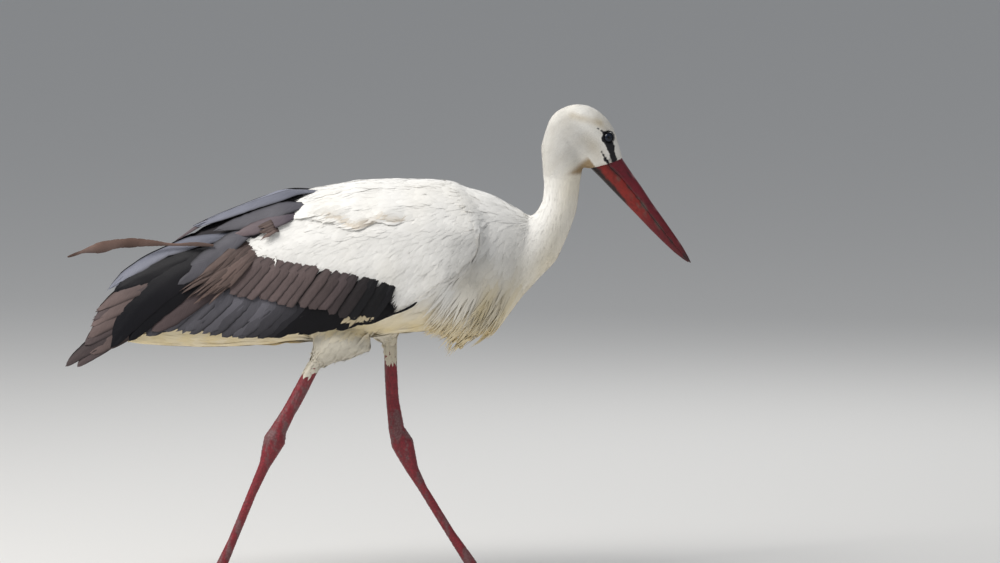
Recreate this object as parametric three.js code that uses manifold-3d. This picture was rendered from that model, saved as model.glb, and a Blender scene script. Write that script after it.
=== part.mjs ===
// White stork, life size, walking with its neck drawn back and its bill pointing down.
// Millimetres. X points forward, Y to the bird's left, Z up. The origin is on the floor,
// under the middle of the bird's length. Every feathered form is a closed loft. Flesh and
// folded wings are cut apart by thin gaps, so that each named piece is one solid.
import * as THREE from "three";
import { mergeVertices } from "three/addons/utils/BufferGeometryUtils.js";
import Module from "manifold-3d";

const wasm = await Module();
wasm.setup();

// ---------------------------------------------------------------- driving dimensions
const GAP = 0.4; // clearance between pieces that meet
const FAR = 700; // reach of the cutting blocks, beyond any part of the bird
const BODY_SIDES = 16; // points round a body section
const LIMB_SIDES = 10; // points round a leg section
const TOE_SIDES = 6; // points round a toe or claw section
const BODY_FULLNESS = 2.3; // exponent of a body section: 2 is an ellipse
const HEAD_FULLNESS = 2.1;
const TAIL_FULLNESS = 2.6; // the closed tail is flat and square-edged
const BILL_FULLNESS = 1.8; // the bill is a little keeled above and below

// Body sections, front to back: [x, top, bottom, level of greatest width, half width].
const TRUNK = [
  [223, 474, 450, 462, 6],
  [214, 506, 420, 460, 24],
  [200, 516, 396, 455, 40],
  [180, 528, 369, 450, 53],
  [155, 543, 353, 448, 64],
  [120, 552, 349, 448, 73],
  [75, 556, 348, 448, 79],
  [25, 557, 344, 446, 80],
  [-30, 553, 335, 442, 77],
  [-85, 543, 332, 434, 70],
  [-140, 526, 330, 422, 60],
  [-195, 503, 326, 404, 50],
  [-245, 474, 325, 384, 42],
  [-295, 432, 327, 366, 34],
  [-335, 398, 330, 351, 25],
  [-357, 372, 336, 344, 14],
];

// The outer face of the two folded wings, in the same five numbers.
const WINGS = [
  [160, 547, 362, 452, 68],
  [140, 553, 348, 449, 78],
  [110, 559, 338, 448, 86],
  [70, 563, 333, 447, 92],
  [20, 563, 327, 443, 94],
  [-30, 561, 320, 438, 91],
  [-85, 551, 315, 428, 84],
  [-140, 540, 310, 412, 75],
  [-195, 519, 305, 394, 65],
  [-245, 498, 300, 376, 56],
  [-290, 466, 295, 362, 48],
  [-325, 450, 290, 350, 41],
  [-357, 428, 285, 340, 35],
  [-385, 392, 280, 326, 28],
  [-408, 366, 272, 312, 20],
  [-440, 312, 262, 284, 9],
];
const WING_HOLLOW_FROM = 8; // the wings stand clear of the rump behind this WINGS row
const WING_SHEET = 7; // thickness of the folded flight feathers, all layers together
const LAYER_STEP = 1.5; // each layer of wing feathers lies this far under the one before

// Outline of the folded wing seen from the side, from the shoulder round to the rump.
const WING_FRONT = [
  [95, 640], [112, 556], [130, 534], [143, 508], [145, 484], [136, 458], [110, 430], [54, 397],
];
const WING_BELOW = [[14, 372], [-51, 363], [-108, 355], [-165, 347], [-225, 349], [-293, 354], [-345, 339]];
const WING_TIPS = [
  [-372, 326], [-392, 319], [-404, 315], [-422, 297], [-424, 303], [-432, 299], [-420, 318], [-408, 336],
  [-401, 359], [-392, 371], [-381, 388], [-374, 404], [-357, 425], [-330, 444], [-290, 480], [-290, 640],
];

// Edges between the layers of wing feathers, seen from the side.
const WHITE_EDGE = [
  [-58, 640], [-90, 549], [-143, 501], [-191, 482], [-165, 454], [-110, 447], [-47, 433],
  [20, 411], [25, 390], [60, 300],
];
const TERTIAL_EDGE = [
  [300, 470], [-20, 462], [-178, 460], [-235, 434], [-290, 391], [-330, 352], [-350, 290],
];
const GREATER_EDGE = [
  [-420, 430], [-262, 416], [-235, 397], [-180, 385], [-110, 389], [-50, 379], [120, 367],
];
const PRIMARY_EDGE = [[-335, 640], [-343, 432], [-352, 396], [-356, 360], [-349, 330], [-349, 240]];
const FEATHER_PITCH = 30; // spacing of the feather tips along an edge
const FEATHER_BULGE = 3.5; // how far each tip stands out of its edge
const FEATHER_STEPS = 3; // points along each tip
const CURVE_PITCH = 12; // spacing of the points along a smooth outline

// Head: its own frame lies along the bill, [forward along the bill, up across it].
const BILL_BASE = new THREE.Vector3(321.1, 0, 576.9);
const BILL_DROP = THREE.MathUtils.degToRad(49.8);
const BILL_LENGTH = 174;
// Sections: [forward, top, bottom, half width].
const HEAD = [
  [12, 17, -15, 11],
  [2, 21.5, -19, 15.5],
  [-12, 28, -23, 19],
  [-25, 34, -27, 22.5],
  [-40, 39.5, -32, 25.5],
  [-55, 41, -36, 27.5],
  [-70, 39, -38, 28],
  [-84, 33.5, -38, 26.5],
  [-96, 23, -34, 22],
  [-104, 10, -25, 14],
  [-108, -3, -13, 5],
];
const BILL = [
  [-22, 24, -21.5, 16.5],
  [4, 20.4, -19.2, 14.2],
  [25, 18, -17.9, 12.4],
  [50, 15.8, -16, 10.8],
  [75, 12.7, -14.2, 9.3],
  [100, 10.6, -12.8, 7.8],
  [125, 8.3, -10.6, 6.2],
  [148, 6, -7.9, 4.3],
  [165, 2.8, -4.2, 2.5],
  [BILL_LENGTH, 0.4, -1, 0.7],
];
const BILL_SEAT = [[4, 21], [-13, -14]]; // the line where bill and feathering meet
const TOMIUM = [[-60, 8], [-24, 4.8], [-2, 1], [20, 3.3], [60, 2.2], [103, 0], [140, -0.9], [200, -0.6]];
const EYE_PLACE = [-34.6, 25.6]; // forward, up
const EYE_RADIUS = 8;
const EYE_OUT = 14.6; // distance of the eye's middle from the middle plane
const EYE_SIDES = [10, 8]; // faces round and down an eye

// Neck sections, top to bottom: [x, z, half depth, half width].
const NECK = [
  [268, 638, 22, 18],
  [262, 622, 31, 23],
  [256.5, 601, 31.5, 24],
  [255, 577, 27.5, 23],
  [254.7, 550, 25.8, 22],
  [251, 524, 25.5, 22.5],
  [242, 500, 28, 26],
  [222, 474, 37, 33],
  [186, 446, 46, 44],
  [140, 420, 52, 50],
];
const HEAD_SEAT = [[228, 573], [281, 560]]; // nape and throat, where head and neck part
const NECK_SEAT = [[214, 517], [270, 505]]; // where the straight of the neck ends
const CHEST_X = 205; // the neck's feathering ends at this upright plane
const BREAST_X = 84; // the breast ends and the belly begins at this one

// Long plumes that hang from the breast: [x at the root, x at the tip, tip level, y].
const PLUMES = [
  [168, 154, 345, -9], [160, 141, 343, 12], [150, 129, 338, -20], [142, 121, 333, 4],
  [132, 113, 324, -12], [124, 104, 331, 17], [114, 97, 337, -22], [106, 87, 341, 2],
];
const PLUME_ROOT_Z = 384;
const PLUME_HALF = [10, 8]; // half width across the bird's side, half thickness
const PLUME_TAPER = [[0, 1], [0.5, 0.95], [1, 0.1]]; // share of the length, share of the full width
const PLUME_SIDES = 6;

// Tail: a closed fan of feathers under the wing tips, [x, z, half thickness, half width].
const TAIL = [
  [-205, 412, 3, 16],
  [-262, 388, 5, 22],
  [-320, 363, 5, 25],
  [-360, 347, 3.5, 23],
  [-376, 340, 1.2, 16],
];
const VENT_X = -190; // the tail coverts begin at this upright plane

// A worn feather that has slipped and trails over the rump: [x, z, half height, out from the middle].
const LOOSE_FEATHER = [
  [-226, 468, 1.6, 48.5],
  [-262, 471, 1.6, 33],
  [-300, 470, 2.2, 24],
  [-330, 471, 6.5, 21],
  [-365, 471, 7.5, 19],
  [-392, 466, 7.5, 17],
  [-415, 458, 4.5, 16],
  [-433.4, 451, 0.8, 15],
];
const LOOSE_HALF_THICKNESS = 1.2;
const LOOSE_SIDES = 8;

// Legs, from the top down: [x, z, half depth, half width, distance out from the middle].
const THIGHS = {
  right: [
    [-40, 359, 36, 18, 40], [-50, 341, 47, 26, 41], [-67, 320, 34, 23, 43], [-80, 305, 20, 15, 45],
    [-90, 292, 12, 10, 46],
  ],
  left: [
    [-2, 356, 30, 18, 40], [3, 338, 33, 25, 41], [9, 323, 21, 19, 43], [14, 310, 12, 12, 45],
    [15, 305, 9.5, 9.5, 46],
  ],
};
const SHANKS = {
  right: [
    [-86, 302, 8, 7.5, 46], [-106, 269, 8.6, 7.6, 46], [-124, 241, 9, 8, 46], [-138, 216, 11, 9.5, 45],
    [-143, 204, 12, 9.5, 45],
  ],
  left: [
    [14.5, 318, 8.4, 7.6, 46], [16, 281, 8.6, 7.6, 46], [18.5, 246, 8.8, 8, 46], [24, 206, 11, 9.5, 45],
    [30, 192, 12, 9.5, 45],
  ],
};
const TARSI = {
  right: [
    [-139, 214, 11.5, 9.5, 45], [-144, 201, 15, 11.5, 45], [-151, 184, 11.5, 10, 45],
    [-158, 166, 7.4, 7.6, 45], [-175, 128, 5.8, 6, 44], [-203, 60, 5.8, 6, 43],
    [-220, 22, 7.5, 7.5, 42], [-224, 12, 8, 8, 42],
  ],
  left: [
    [25, 204, 11.5, 9.5, 45], [32, 187, 15.5, 11.5, 45], [39, 168, 12, 10, 45],
    [46, 150, 8.4, 7.8, 45], [61, 123, 5.8, 6, 44], [99, 61, 5.8, 6, 43],
    [126, 21, 7.5, 7.5, 42], [131, 12, 8, 8, 42],
  ],
};
const FEET = { right: [-226, 42], left: [136, 42] }; // x and distance out of each foot's middle
const SOLE = [11, 9.5, 8]; // half length, half width and half height of the foot's pad
const SOLE_SIDES = [10, 6]; // faces round and down a pad
// Toes: [name, length to the claw, degrees outwards, half width at the root].
const TOES = [
  ["inner", 52, -31, 5.6],
  ["middle", 68, 1, 6],
  ["outer", 58, 33, 5.6],
  ["back", 20, 176, 4.8],
];
const TOE_ROOT = 6; // the toes start this far from the foot's middle
const TOE_LEVEL = 4.2; // height of a toe's middle, lower than its half width, so that its sole is flat
// Along a toe: [share of its length, height over TOE_LEVEL, shares of the root's half width up and across].
const TOE_TAPER = [[0, 1, 1.05, 1], [0.5, 0, 0.84, 0.88], [1, -0.7, 0.6, 0.62]];
const CLAW_LENGTH = 10;
const CLAW_BITE = 2; // how deep a claw sits in its toe
// Along a claw: [share of its length, height over TOE_LEVEL, half height, half width].
const CLAW_TAPER = [[0, 0, 2.6, 3.2], [0.55, -0.6, 2.2, 2.8], [1, -2.6, 0.9, 1.2]];

// ---------------------------------------------------------------- finishes
const finish = (color, roughness) => new THREE.MeshStandardMaterial({ color, roughness, metalness: 0 });
const WHITE = finish(0xeee9dc, 0.85);
const CREAM = finish(0xe6dcc0, 0.85);
const BLACK = finish(0x1d191a, 0.6);
const BROWN = finish(0x3a2b26, 0.7);
const SLATE = finish(0x3c3c46, 0.6);
const RED_BILL = finish(0x9c2320, 0.45);
const RED_LEG = finish(0x8f3a3a, 0.6);
const HORN = finish(0x4a2f2b, 0.5);
const EYE_BLACK = finish(0x0d0b0b, 0.1);

// ---------------------------------------------------------------- solids
// A closed three.js geometry as a solid that can be cut and joined.
function toSolid(geometry) {
  const bare = new THREE.BufferGeometry();
  bare.setAttribute("position", geometry.getAttribute("position"));
  bare.setIndex(geometry.index);
  const merged = mergeVertices(bare, 1e-3);
  const build = (triVerts) =>
    new wasm.Manifold(
      new wasm.Mesh({ numProp: 3, vertProperties: merged.attributes.position.array, triVerts }),
    );
  const made = build(new Uint32Array(merged.index.array));
  return made.volume() > 0 ? made : build(new Uint32Array(merged.index.array).reverse());
}

// A finished solid as a three.js geometry.
function toGeometry(solid) {
  const mesh = solid.getMesh();
  const geometry = new THREE.BufferGeometry();
  const places = [];
  for (let i = 0; i < mesh.vertProperties.length; i += mesh.numProp) {
    places.push(mesh.vertProperties[i], mesh.vertProperties[i + 1], mesh.vertProperties[i + 2]);
  }
  geometry.setAttribute("position", new THREE.Float32BufferAttribute(places, 3));
  geometry.setIndex(Array.from(mesh.triVerts));
  return geometry;
}

// A closed skin over rings of equal count, with a flat lid on each end.
function skinOver(rings) {
  const count = rings[0].length;
  const places = rings.flat().flatMap((point) => [point.x, point.y, point.z]);
  const faces = [];
  for (let r = 0; r + 1 < rings.length; r++) {
    for (let k = 0; k < count; k++) {
      const a = r * count + k;
      const b = r * count + ((k + 1) % count);
      faces.push(a, b, a + count, b, b + count, a + count);
    }
  }
  const last = (rings.length - 1) * count;
  for (let k = 1; k + 1 < count; k++) {
    faces.push(0, k + 1, k, last, last + k, last + k + 1);
  }
  const geometry = new THREE.BufferGeometry();
  geometry.setAttribute("position", new THREE.Float32BufferAttribute(places, 3));
  geometry.setIndex(faces);
  return toSolid(geometry);
}

// One rounded section. `up` and `side` are unit vectors that span its plane.
function section({ centre, up, side, high, low, wide, sides, fullness }) {
  const ring = [];
  for (let k = 0; k < sides; k++) {
    const angle = (k / sides) * 2 * Math.PI;
    const swell = (v) => Math.sign(v) * Math.abs(v) ** (2 / fullness);
    const lift = swell(Math.cos(angle));
    const reach = swell(Math.sin(angle));
    const point = centre.clone();
    point.addScaledVector(up, lift * (lift > 0 ? high : low));
    point.addScaledVector(side, reach * wide);
    ring.push(point);
  }
  return ring;
}

const ALONG_Y = new THREE.Vector3(0, 1, 0);
const ALONG_Z = new THREE.Vector3(0, 0, 1);

// A loft through upright sections: [x, top, bottom, widest level, half width].
function uprightLoft(rows, grow = 0) {
  return skinOver(
    rows.map(([x, top, bottom, level, half]) =>
      section({
        centre: new THREE.Vector3(x, 0, level),
        up: ALONG_Z,
        side: ALONG_Y,
        high: top - level + grow,
        low: level - bottom + grow,
        wide: Math.max(half + grow, 1),
        sides: BODY_SIDES,
        fullness: BODY_FULLNESS,
      }),
    ),
  );
}

// A loft along a bent spine. Each station is {place, high, low, wide}; sections stand square
// to the spine, and `side` is the direction that stays across it.
function spineLoft(stations, { sides = LIMB_SIDES, fullness = 2, side = ALONG_Y } = {}) {
  const spine = new THREE.CatmullRomCurve3(stations.map((s) => s.place), false, "centripetal");
  return skinOver(
    stations.map(({ place, high, low, wide }, i) => {
      const forward = spine.getTangent(i / (stations.length - 1));
      const up = new THREE.Vector3().crossVectors(forward, side).normalize();
      const across = new THREE.Vector3().crossVectors(up, forward).normalize();
      return section({ centre: place, up, side: across, high, low, wide, sides, fullness });
    }),
  );
}

// A block whose outline is drawn in the XZ plane and which runs from y0 to y1.
function sideBlock(outline, y0 = -FAR, y1 = FAR) {
  const shape = new THREE.Shape(outline.map(([x, z]) => new THREE.Vector2(x, z)));
  const block = new THREE.ExtrudeGeometry(shape, { depth: y1 - y0, bevelEnabled: false });
  block.rotateX(Math.PI / 2);
  block.translate(0, y1, 0);
  return toSolid(block);
}

// All that lies on the left of a line, seen from the bird's right side, as one large block.
// `shift` moves the line to its left first, which leaves a clearance between two such cuts.
function leftOf(line, shift) {
  const first = new THREE.Vector2(...line[0]);
  const last = new THREE.Vector2(...line[line.length - 1]);
  const square = last.clone().sub(first).rotateAround(new THREE.Vector2(), Math.PI / 2).setLength(2 * FAR);
  const moved = line.map((point, i) => {
    const before = new THREE.Vector2(...line[Math.max(i - 1, 0)]);
    const after = new THREE.Vector2(...line[Math.min(i + 1, line.length - 1)]);
    const normal = after.sub(before).rotateAround(new THREE.Vector2(), Math.PI / 2).setLength(shift);
    return [point[0] + normal.x, point[1] + normal.y];
  });
  return sideBlock([...moved, last.add(square).toArray(), first.add(square).toArray()]);
}

// The two sides of a straight or bent cut, with half the clearance on each.
const sidesOf = (line) => ({
  left: leftOf(line, GAP / 2),
  right: leftOf([...line].reverse(), GAP / 2),
});

// A smooth line through a few points, sampled evenly.
function smoothLine(points) {
  const curve = new THREE.SplineCurve(points.map(([x, z]) => new THREE.Vector2(x, z)));
  const pieces = Math.round(curve.getLength() / CURVE_PITCH);
  return curve.getSpacedPoints(pieces).map((p) => [p.x, p.y]);
}

// A smooth line whose middle part is scalloped by feather tips that bulge to its right.
function featherLine(points) {
  const curve = new THREE.SplineCurve(points.map(([x, z]) => new THREE.Vector2(x, z)));
  const tips = Math.round(curve.getLength() / FEATHER_PITCH);
  const line = [];
  for (let i = 0; i <= tips * FEATHER_STEPS; i++) {
    const t = i / (tips * FEATHER_STEPS);
    const normal = curve.getTangentAt(t).rotateAround(new THREE.Vector2(), -Math.PI / 2);
    const bulge = FEATHER_BULGE * Math.sin(((i % FEATHER_STEPS) / FEATHER_STEPS) * Math.PI);
    const p = curve.getPointAt(t).addScaledVector(normal, bulge);
    line.push([p.x, p.y]);
  }
  return line;
}

// A straight cut line through two points, drawn out beyond the bird.
function longLine([a, b]) {
  const from = new THREE.Vector2(...a);
  const to = new THREE.Vector2(...b);
  const along = to.clone().sub(from).setLength(FAR);
  return [from.clone().sub(along).toArray(), to.clone().add(along).toArray()];
}

// ---------------------------------------------------------------- the bird's frame helpers
const billForward = new THREE.Vector3(Math.cos(BILL_DROP), 0, -Math.sin(BILL_DROP));
const billUp = new THREE.Vector3(Math.sin(BILL_DROP), 0, Math.cos(BILL_DROP));

// A point of the head's own frame in the bird's frame.
function headPoint(forward, up, out = 0) {
  const point = BILL_BASE.clone();
  point.addScaledVector(billForward, forward);
  point.addScaledVector(billUp, up);
  point.y = out;
  return point;
}
const headLine = (points) =>
  points.map(([forward, up]) => {
    const p = headPoint(forward, up);
    return [p.x, p.z];
  });

// A loft along the bill's direction: [forward, top, bottom, half width].
function headLoft(rows, fullness) {
  return skinOver(
    rows.map(([forward, top, bottom, half]) =>
      section({
        centre: headPoint(forward, (top + bottom) / 2),
        up: billUp,
        side: ALONG_Y,
        high: (top - bottom) / 2,
        low: (top - bottom) / 2,
        wide: half,
        sides: BODY_SIDES,
        fullness,
      }),
    ),
  );
}

// ---------------------------------------------------------------- pieces
const pieces = [];
const keep = (name, solid, material) => pieces.push({ name, solid, material });

// Head, neck and trunk are one form, parted afterwards.
const neckForm = (grow) =>
  spineLoft(
    NECK.map(([x, z, deep, wide]) => ({
      place: new THREE.Vector3(x, 0, z),
      high: deep + grow,
      low: deep + grow,
      wide: wide + grow,
    })),
    { sides: BODY_SIDES, fullness: HEAD_FULLNESS },
  );
const fleshForm = uprightLoft(TRUNK).add(neckForm(0)).add(headLoft(HEAD, HEAD_FULLNESS));
const trunkRoom = uprightLoft(TRUNK, GAP).add(neckForm(GAP));

const billSeat = sidesOf(longLine(headLine(BILL_SEAT)));
const headSeat = sidesOf(longLine(HEAD_SEAT));
const neckSeat = sidesOf(longLine(NECK_SEAT));
const chestSeat = sidesOf([[CHEST_X, FAR], [CHEST_X, -FAR]]);
const breastSeat = sidesOf([[BREAST_X, FAR], [BREAST_X, -FAR]]);
const ventSeat = sidesOf([[VENT_X, FAR], [VENT_X, -FAR]]);

function makeEyes() {
  const sockets = [];
  for (const [side, sign] of [["right", -1], ["left", 1]]) {
    const centre = headPoint(...EYE_PLACE, sign * EYE_OUT);
    const ball = (radius) => {
      const sphere = new THREE.SphereGeometry(radius, ...EYE_SIDES);
      sphere.translate(centre.x, centre.y, centre.z);
      return toSolid(sphere);
    };
    keep(`eye_${side}`, ball(EYE_RADIUS), EYE_BLACK);
    sockets.push(ball(EYE_RADIUS + GAP));
  }
  return sockets;
}

// The bill's seat trims the face only; the throat below it belongs to the neck's form.
function makeHeadAndNeck() {
  const [socketRight, socketLeft] = makeEyes();
  const head = fleshForm.intersect(billSeat.right.add(neckForm(0))).intersect(headSeat.left);
  keep("head", head.subtract(socketRight).subtract(socketLeft), WHITE);
  const neck = fleshForm.intersect(headSeat.right).intersect(chestSeat.left);
  keep("neck_upper", neck.intersect(neckSeat.left), WHITE);
  keep("neck_lower", neck.intersect(neckSeat.right), WHITE);
}

function makeBill() {
  const bill = headLoft(BILL, BILL_FULLNESS).intersect(billSeat.left);
  const mouth = sidesOf(headLine(TOMIUM));
  keep("bill_upper", bill.intersect(mouth.left), RED_BILL);
  keep("bill_lower", bill.intersect(mouth.right), RED_BILL);
}

function makeTail() {
  const tailForm = (grow) =>
    spineLoft(
      TAIL.map(([x, z, thick, wide]) => ({
        place: new THREE.Vector3(x, 0, z),
        high: thick + grow,
        low: thick + grow,
        wide: wide + grow,
      })),
      { sides: BODY_SIDES, fullness: TAIL_FULLNESS },
    );
  keep("tail", tailForm(0), WHITE);
  const rear = fleshForm.intersect(ventSeat.right);
  keep("tail_coverts", rear.subtract(tailForm(GAP)), CREAM);
}

// The long plumes of the breast, each a blade that tapers from its root to a hanging tip.
function plumeForm() {
  return PLUMES.map(([rootX, tipX, tipZ, out]) => {
    const root = new THREE.Vector3(rootX, out, PLUME_ROOT_Z);
    const tip = new THREE.Vector3(tipX, out, tipZ);
    const stations = PLUME_TAPER.map(([share, swell]) => ({
      place: root.clone().lerp(tip, share),
      high: PLUME_HALF[0] * swell,
      low: PLUME_HALF[0] * swell,
      wide: PLUME_HALF[1] * swell,
    }));
    return spineLoft(stations, { sides: PLUME_SIDES });
  });
}

function makeTrunk() {
  const plumed = plumeForm().reduce((made, plume) => made.add(plume), fleshForm);
  keep("breast", plumed.intersect(chestSeat.right).intersect(breastSeat.left), WHITE);
  keep("trunk", fleshForm.intersect(breastSeat.right).intersect(ventSeat.left), WHITE);
}

// The folded wing, as layers that overlap like shallow steps.
function makeWings() {
  const outline = [...smoothLine(WING_FRONT), ...smoothLine(WING_BELOW), ...WING_TIPS];
  const rump = WINGS.slice(WING_HOLLOW_FROM - 1).map(([x, top, bottom, level, half]) => [
    x, top - WING_SHEET, bottom, level, Math.max(half - WING_SHEET, 1),
  ]);
  rump.push([-FAR, 262, 240, 250, 1]);
  const hollow = uprightLoft(rump);
  const white = sidesOf(featherLine(WHITE_EDGE));
  const tertial = sidesOf(featherLine(TERTIAL_EDGE));
  const greater = sidesOf(featherLine(GREATER_EDGE));
  const primary = sidesOf(smoothLine(PRIMARY_EDGE));
  const layers = [
    ["coverts", 0, [white.left], WHITE],
    ["tertials", 1, [white.right, tertial.right, primary.left], BLACK],
    ["greater_coverts", 1, [white.right, tertial.left, greater.left], BROWN],
    ["secondaries", 2, [white.right, tertial.left, greater.right, primary.left], SLATE],
    ["primaries", 2, [primary.right], BLACK],
  ];
  for (const [side, from, to] of [["right", -FAR, -GAP], ["left", GAP, FAR]]) {
    const room = sideBlock(outline, from, to);
    for (const [name, steps, cuts, material] of layers) {
      let made = uprightLoft(WINGS, -steps * LAYER_STEP).intersect(room);
      for (const cut of cuts) made = made.intersect(cut);
      keep(`wing_${side}_${name}`, made.subtract(trunkRoom).subtract(hollow), material);
    }
  }
}

function makeLooseFeather() {
  const stations = LOOSE_FEATHER.map(([x, z, half, out]) => ({
    place: new THREE.Vector3(x, -out, z),
    high: half,
    low: half,
    wide: LOOSE_HALF_THICKNESS,
  }));
  keep("loose_feather", spineLoft(stations, { sides: LOOSE_SIDES }), BROWN);
}

// The space over the floor. What reaches below it is cut off and stands on a flat.
const overFloor = sideBlock([[-FAR, 0], [FAR, 0], [FAR, FAR], [-FAR, FAR]]);

// The space that the folded wings take, lowered by the clearance.
const wingOutline = [...smoothLine(WING_FRONT), ...WING_BELOW, [WING_BELOW.at(-1)[0], WING_FRONT[0][1]]];
const wingRoom = uprightLoft(WINGS, GAP).intersect(sideBlock(wingOutline.map(([x, z]) => [x, z - GAP])));

function makeLeg(side, sign) {
  const limb = (rows, grow = 0) =>
    spineLoft(
      rows.map(([x, z, deep, wide, out]) => ({
        place: new THREE.Vector3(x, sign * out, z),
        high: deep + grow,
        low: deep + grow,
        wide: wide + grow,
      })),
    );
  const thigh = limb(THIGHS[side]).subtract(limb(SHANKS[side], GAP));
  keep(`thigh_${side}`, thigh.subtract(trunkRoom).subtract(wingRoom), WHITE);
  keep(`shank_${side}`, limb(SHANKS[side]).subtract(limb(TARSI[side], GAP)), RED_LEG);

  const [footX, footOut] = FEET[side];
  const pad = (grow) => {
    const dome = new THREE.SphereGeometry(1, ...SOLE_SIDES);
    dome.rotateX(Math.PI / 2);
    dome.scale(SOLE[0] + grow, SOLE[1] + grow, SOLE[2] + grow);
    dome.translate(footX, sign * footOut, SOLE[2] / 2);
    return toSolid(dome);
  };
  keep(`foot_${side}`, pad(0).intersect(overFloor), RED_LEG);
  keep(`tarsus_${side}`, limb(TARSI[side]).subtract(pad(GAP)), RED_LEG);

  const toes = new Map();
  for (const [name, length, degrees, half] of TOES) {
    toes.set(name, toeParts(footX, sign * footOut, THREE.MathUtils.degToRad(degrees) * sign, length, half));
  }
  for (const [name, { toe, toeRoom, claw }] of toes) {
    let made = toe.subtract(pad(GAP)).subtract(limb(TARSI[side], GAP));
    if (name === "inner" || name === "outer") made = made.subtract(toes.get("middle").toeRoom);
    keep(`toe_${side}_${name}`, made.intersect(overFloor), RED_LEG);
    keep(`claw_${side}_${name}`, claw.intersect(overFloor).subtract(toeRoom), HORN);
  }
}

// One toe that runs out level from (x, y) in the direction `turn`, and the claw in its tip.
function toeParts(x, y, turn, length, half) {
  const ahead = new THREE.Vector3(Math.cos(turn), Math.sin(turn), 0);
  const across = new THREE.Vector3(-Math.sin(turn), Math.cos(turn), 0);
  const at = (reach, rise, high, wide) => ({
    place: new THREE.Vector3(x, y, TOE_LEVEL + rise).addScaledVector(ahead, reach),
    high,
    low: high,
    wide,
  });
  const shape = { sides: TOE_SIDES, side: across };
  const toeForm = (grow) =>
    spineLoft(
      TOE_TAPER.map(([share, rise, tall, wide]) =>
        at(TOE_ROOT + length * share + grow * (2 * share - 1), rise, half * tall + grow, half * wide + grow),
      ),
      shape,
    );
  const claw = spineLoft(
    CLAW_TAPER.map(([share, rise, tall, wide]) =>
      at(TOE_ROOT + length - CLAW_BITE + CLAW_LENGTH * share, rise, tall, wide),
    ),
    shape,
  );
  return { toe: toeForm(0), toeRoom: toeForm(GAP), claw };
}

makeHeadAndNeck();
makeBill();
makeTrunk();
makeTail();
makeWings();
makeLooseFeather();
makeLeg("right", -1);
makeLeg("left", 1);

const stork = new THREE.Group();
stork.name = "white_stork";
for (const { name, solid, material } of pieces) {
  const mesh = new THREE.Mesh(toGeometry(solid), material);
  mesh.name = name;
  stork.add(mesh);
}

export default stork;
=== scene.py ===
# %% [markdown]
# # A white stork, feather by feather
# A life-size bird is modelled here over a measured frame of solids. The frame gives the true outline, so
# every step below asks where the real surface is and lays skin, feathers, horn or scales on it.
# All sizes are real ones. Metres are Blender's unit, and `MM` turns a bird maker's millimetres into them.

# %% Load the frame
import itertools
import math
import bmesh
import bpy
import numpy as np
from mathutils import Matrix, Vector
from mathutils.bvhtree import BVHTree
from mathutils.kdtree import KDTree


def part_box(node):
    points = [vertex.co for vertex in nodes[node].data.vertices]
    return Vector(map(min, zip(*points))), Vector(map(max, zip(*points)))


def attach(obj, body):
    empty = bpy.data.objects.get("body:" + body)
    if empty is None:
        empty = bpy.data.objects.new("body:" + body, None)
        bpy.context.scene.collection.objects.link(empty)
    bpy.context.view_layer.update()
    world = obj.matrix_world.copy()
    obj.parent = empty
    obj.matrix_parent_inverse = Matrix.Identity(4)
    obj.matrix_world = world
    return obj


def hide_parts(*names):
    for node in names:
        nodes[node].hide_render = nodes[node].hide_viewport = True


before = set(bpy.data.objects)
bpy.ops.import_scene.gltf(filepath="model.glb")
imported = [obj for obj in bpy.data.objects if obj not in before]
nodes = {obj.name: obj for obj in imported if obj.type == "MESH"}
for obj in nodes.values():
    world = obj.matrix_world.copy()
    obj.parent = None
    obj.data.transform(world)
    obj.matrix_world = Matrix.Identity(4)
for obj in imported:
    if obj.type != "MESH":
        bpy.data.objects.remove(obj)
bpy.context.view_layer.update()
MM = 0.001
SIDES = {"right": -1, "left": 1}

# %% [markdown]
# ## Camera and light
# A long lens from far away flattens the bird the way a field telescope does. The camera looks along +Y from
# a little above. The key light is a large soft box high behind the tail, so that the back and the nape are
# bright and the belly lies in shade. A weak fill stands before the bill, and a small light behind the bird
# frees its outline from the ground. The floor is a plain pale sheet, wide enough to reach the horizon.

# %% Camera
VIEW_WIDTH = 1390 * MM  # how much of the bird's side the view is wide
AIM = Vector((168.5, 0.0, 417.8)) * MM
CAMERA_DISTANCE = 12.0
CAMERA_RAISE = math.radians(5)
SENSOR = 36.0

lens = bpy.data.cameras.new("long_lens")
lens.sensor_width = SENSOR
lens.lens = SENSOR * CAMERA_DISTANCE / VIEW_WIDTH
lens.clip_end = 100
camera = bpy.data.objects.new("camera", lens)
camera.location = AIM + CAMERA_DISTANCE * Vector((0, -math.cos(CAMERA_RAISE), math.sin(CAMERA_RAISE)))
camera.rotation_euler = (math.pi / 2 - CAMERA_RAISE, 0, 0)
bpy.context.scene.collection.objects.link(camera)
bpy.context.scene.camera = camera
print("camera lens", round(lens.lens), "mm")


# %% Lights and floor
def area_light(name, place, size, watts, colour=(1, 1, 1)):
    light = bpy.data.lights.new(name, "AREA")
    light.size = size
    light.energy = watts
    light.color = colour
    lamp = bpy.data.objects.new(name, light)
    lamp.location = place
    lamp.rotation_euler = (AIM - Vector(place)).to_track_quat("-Z", "Y").to_euler()
    lamp.visible_camera = False
    bpy.context.scene.collection.objects.link(lamp)


area_light("key", (-2.3, -1.25, 3.25), 2.4, 160, (1.0, 0.98, 0.95))
area_light("fill", (3.3, -3.6, 1.6), 3.0, 11, (0.96, 0.97, 1.0))
area_light("back", (0.8, 2.4, 2.2), 1.5, 22)

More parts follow.
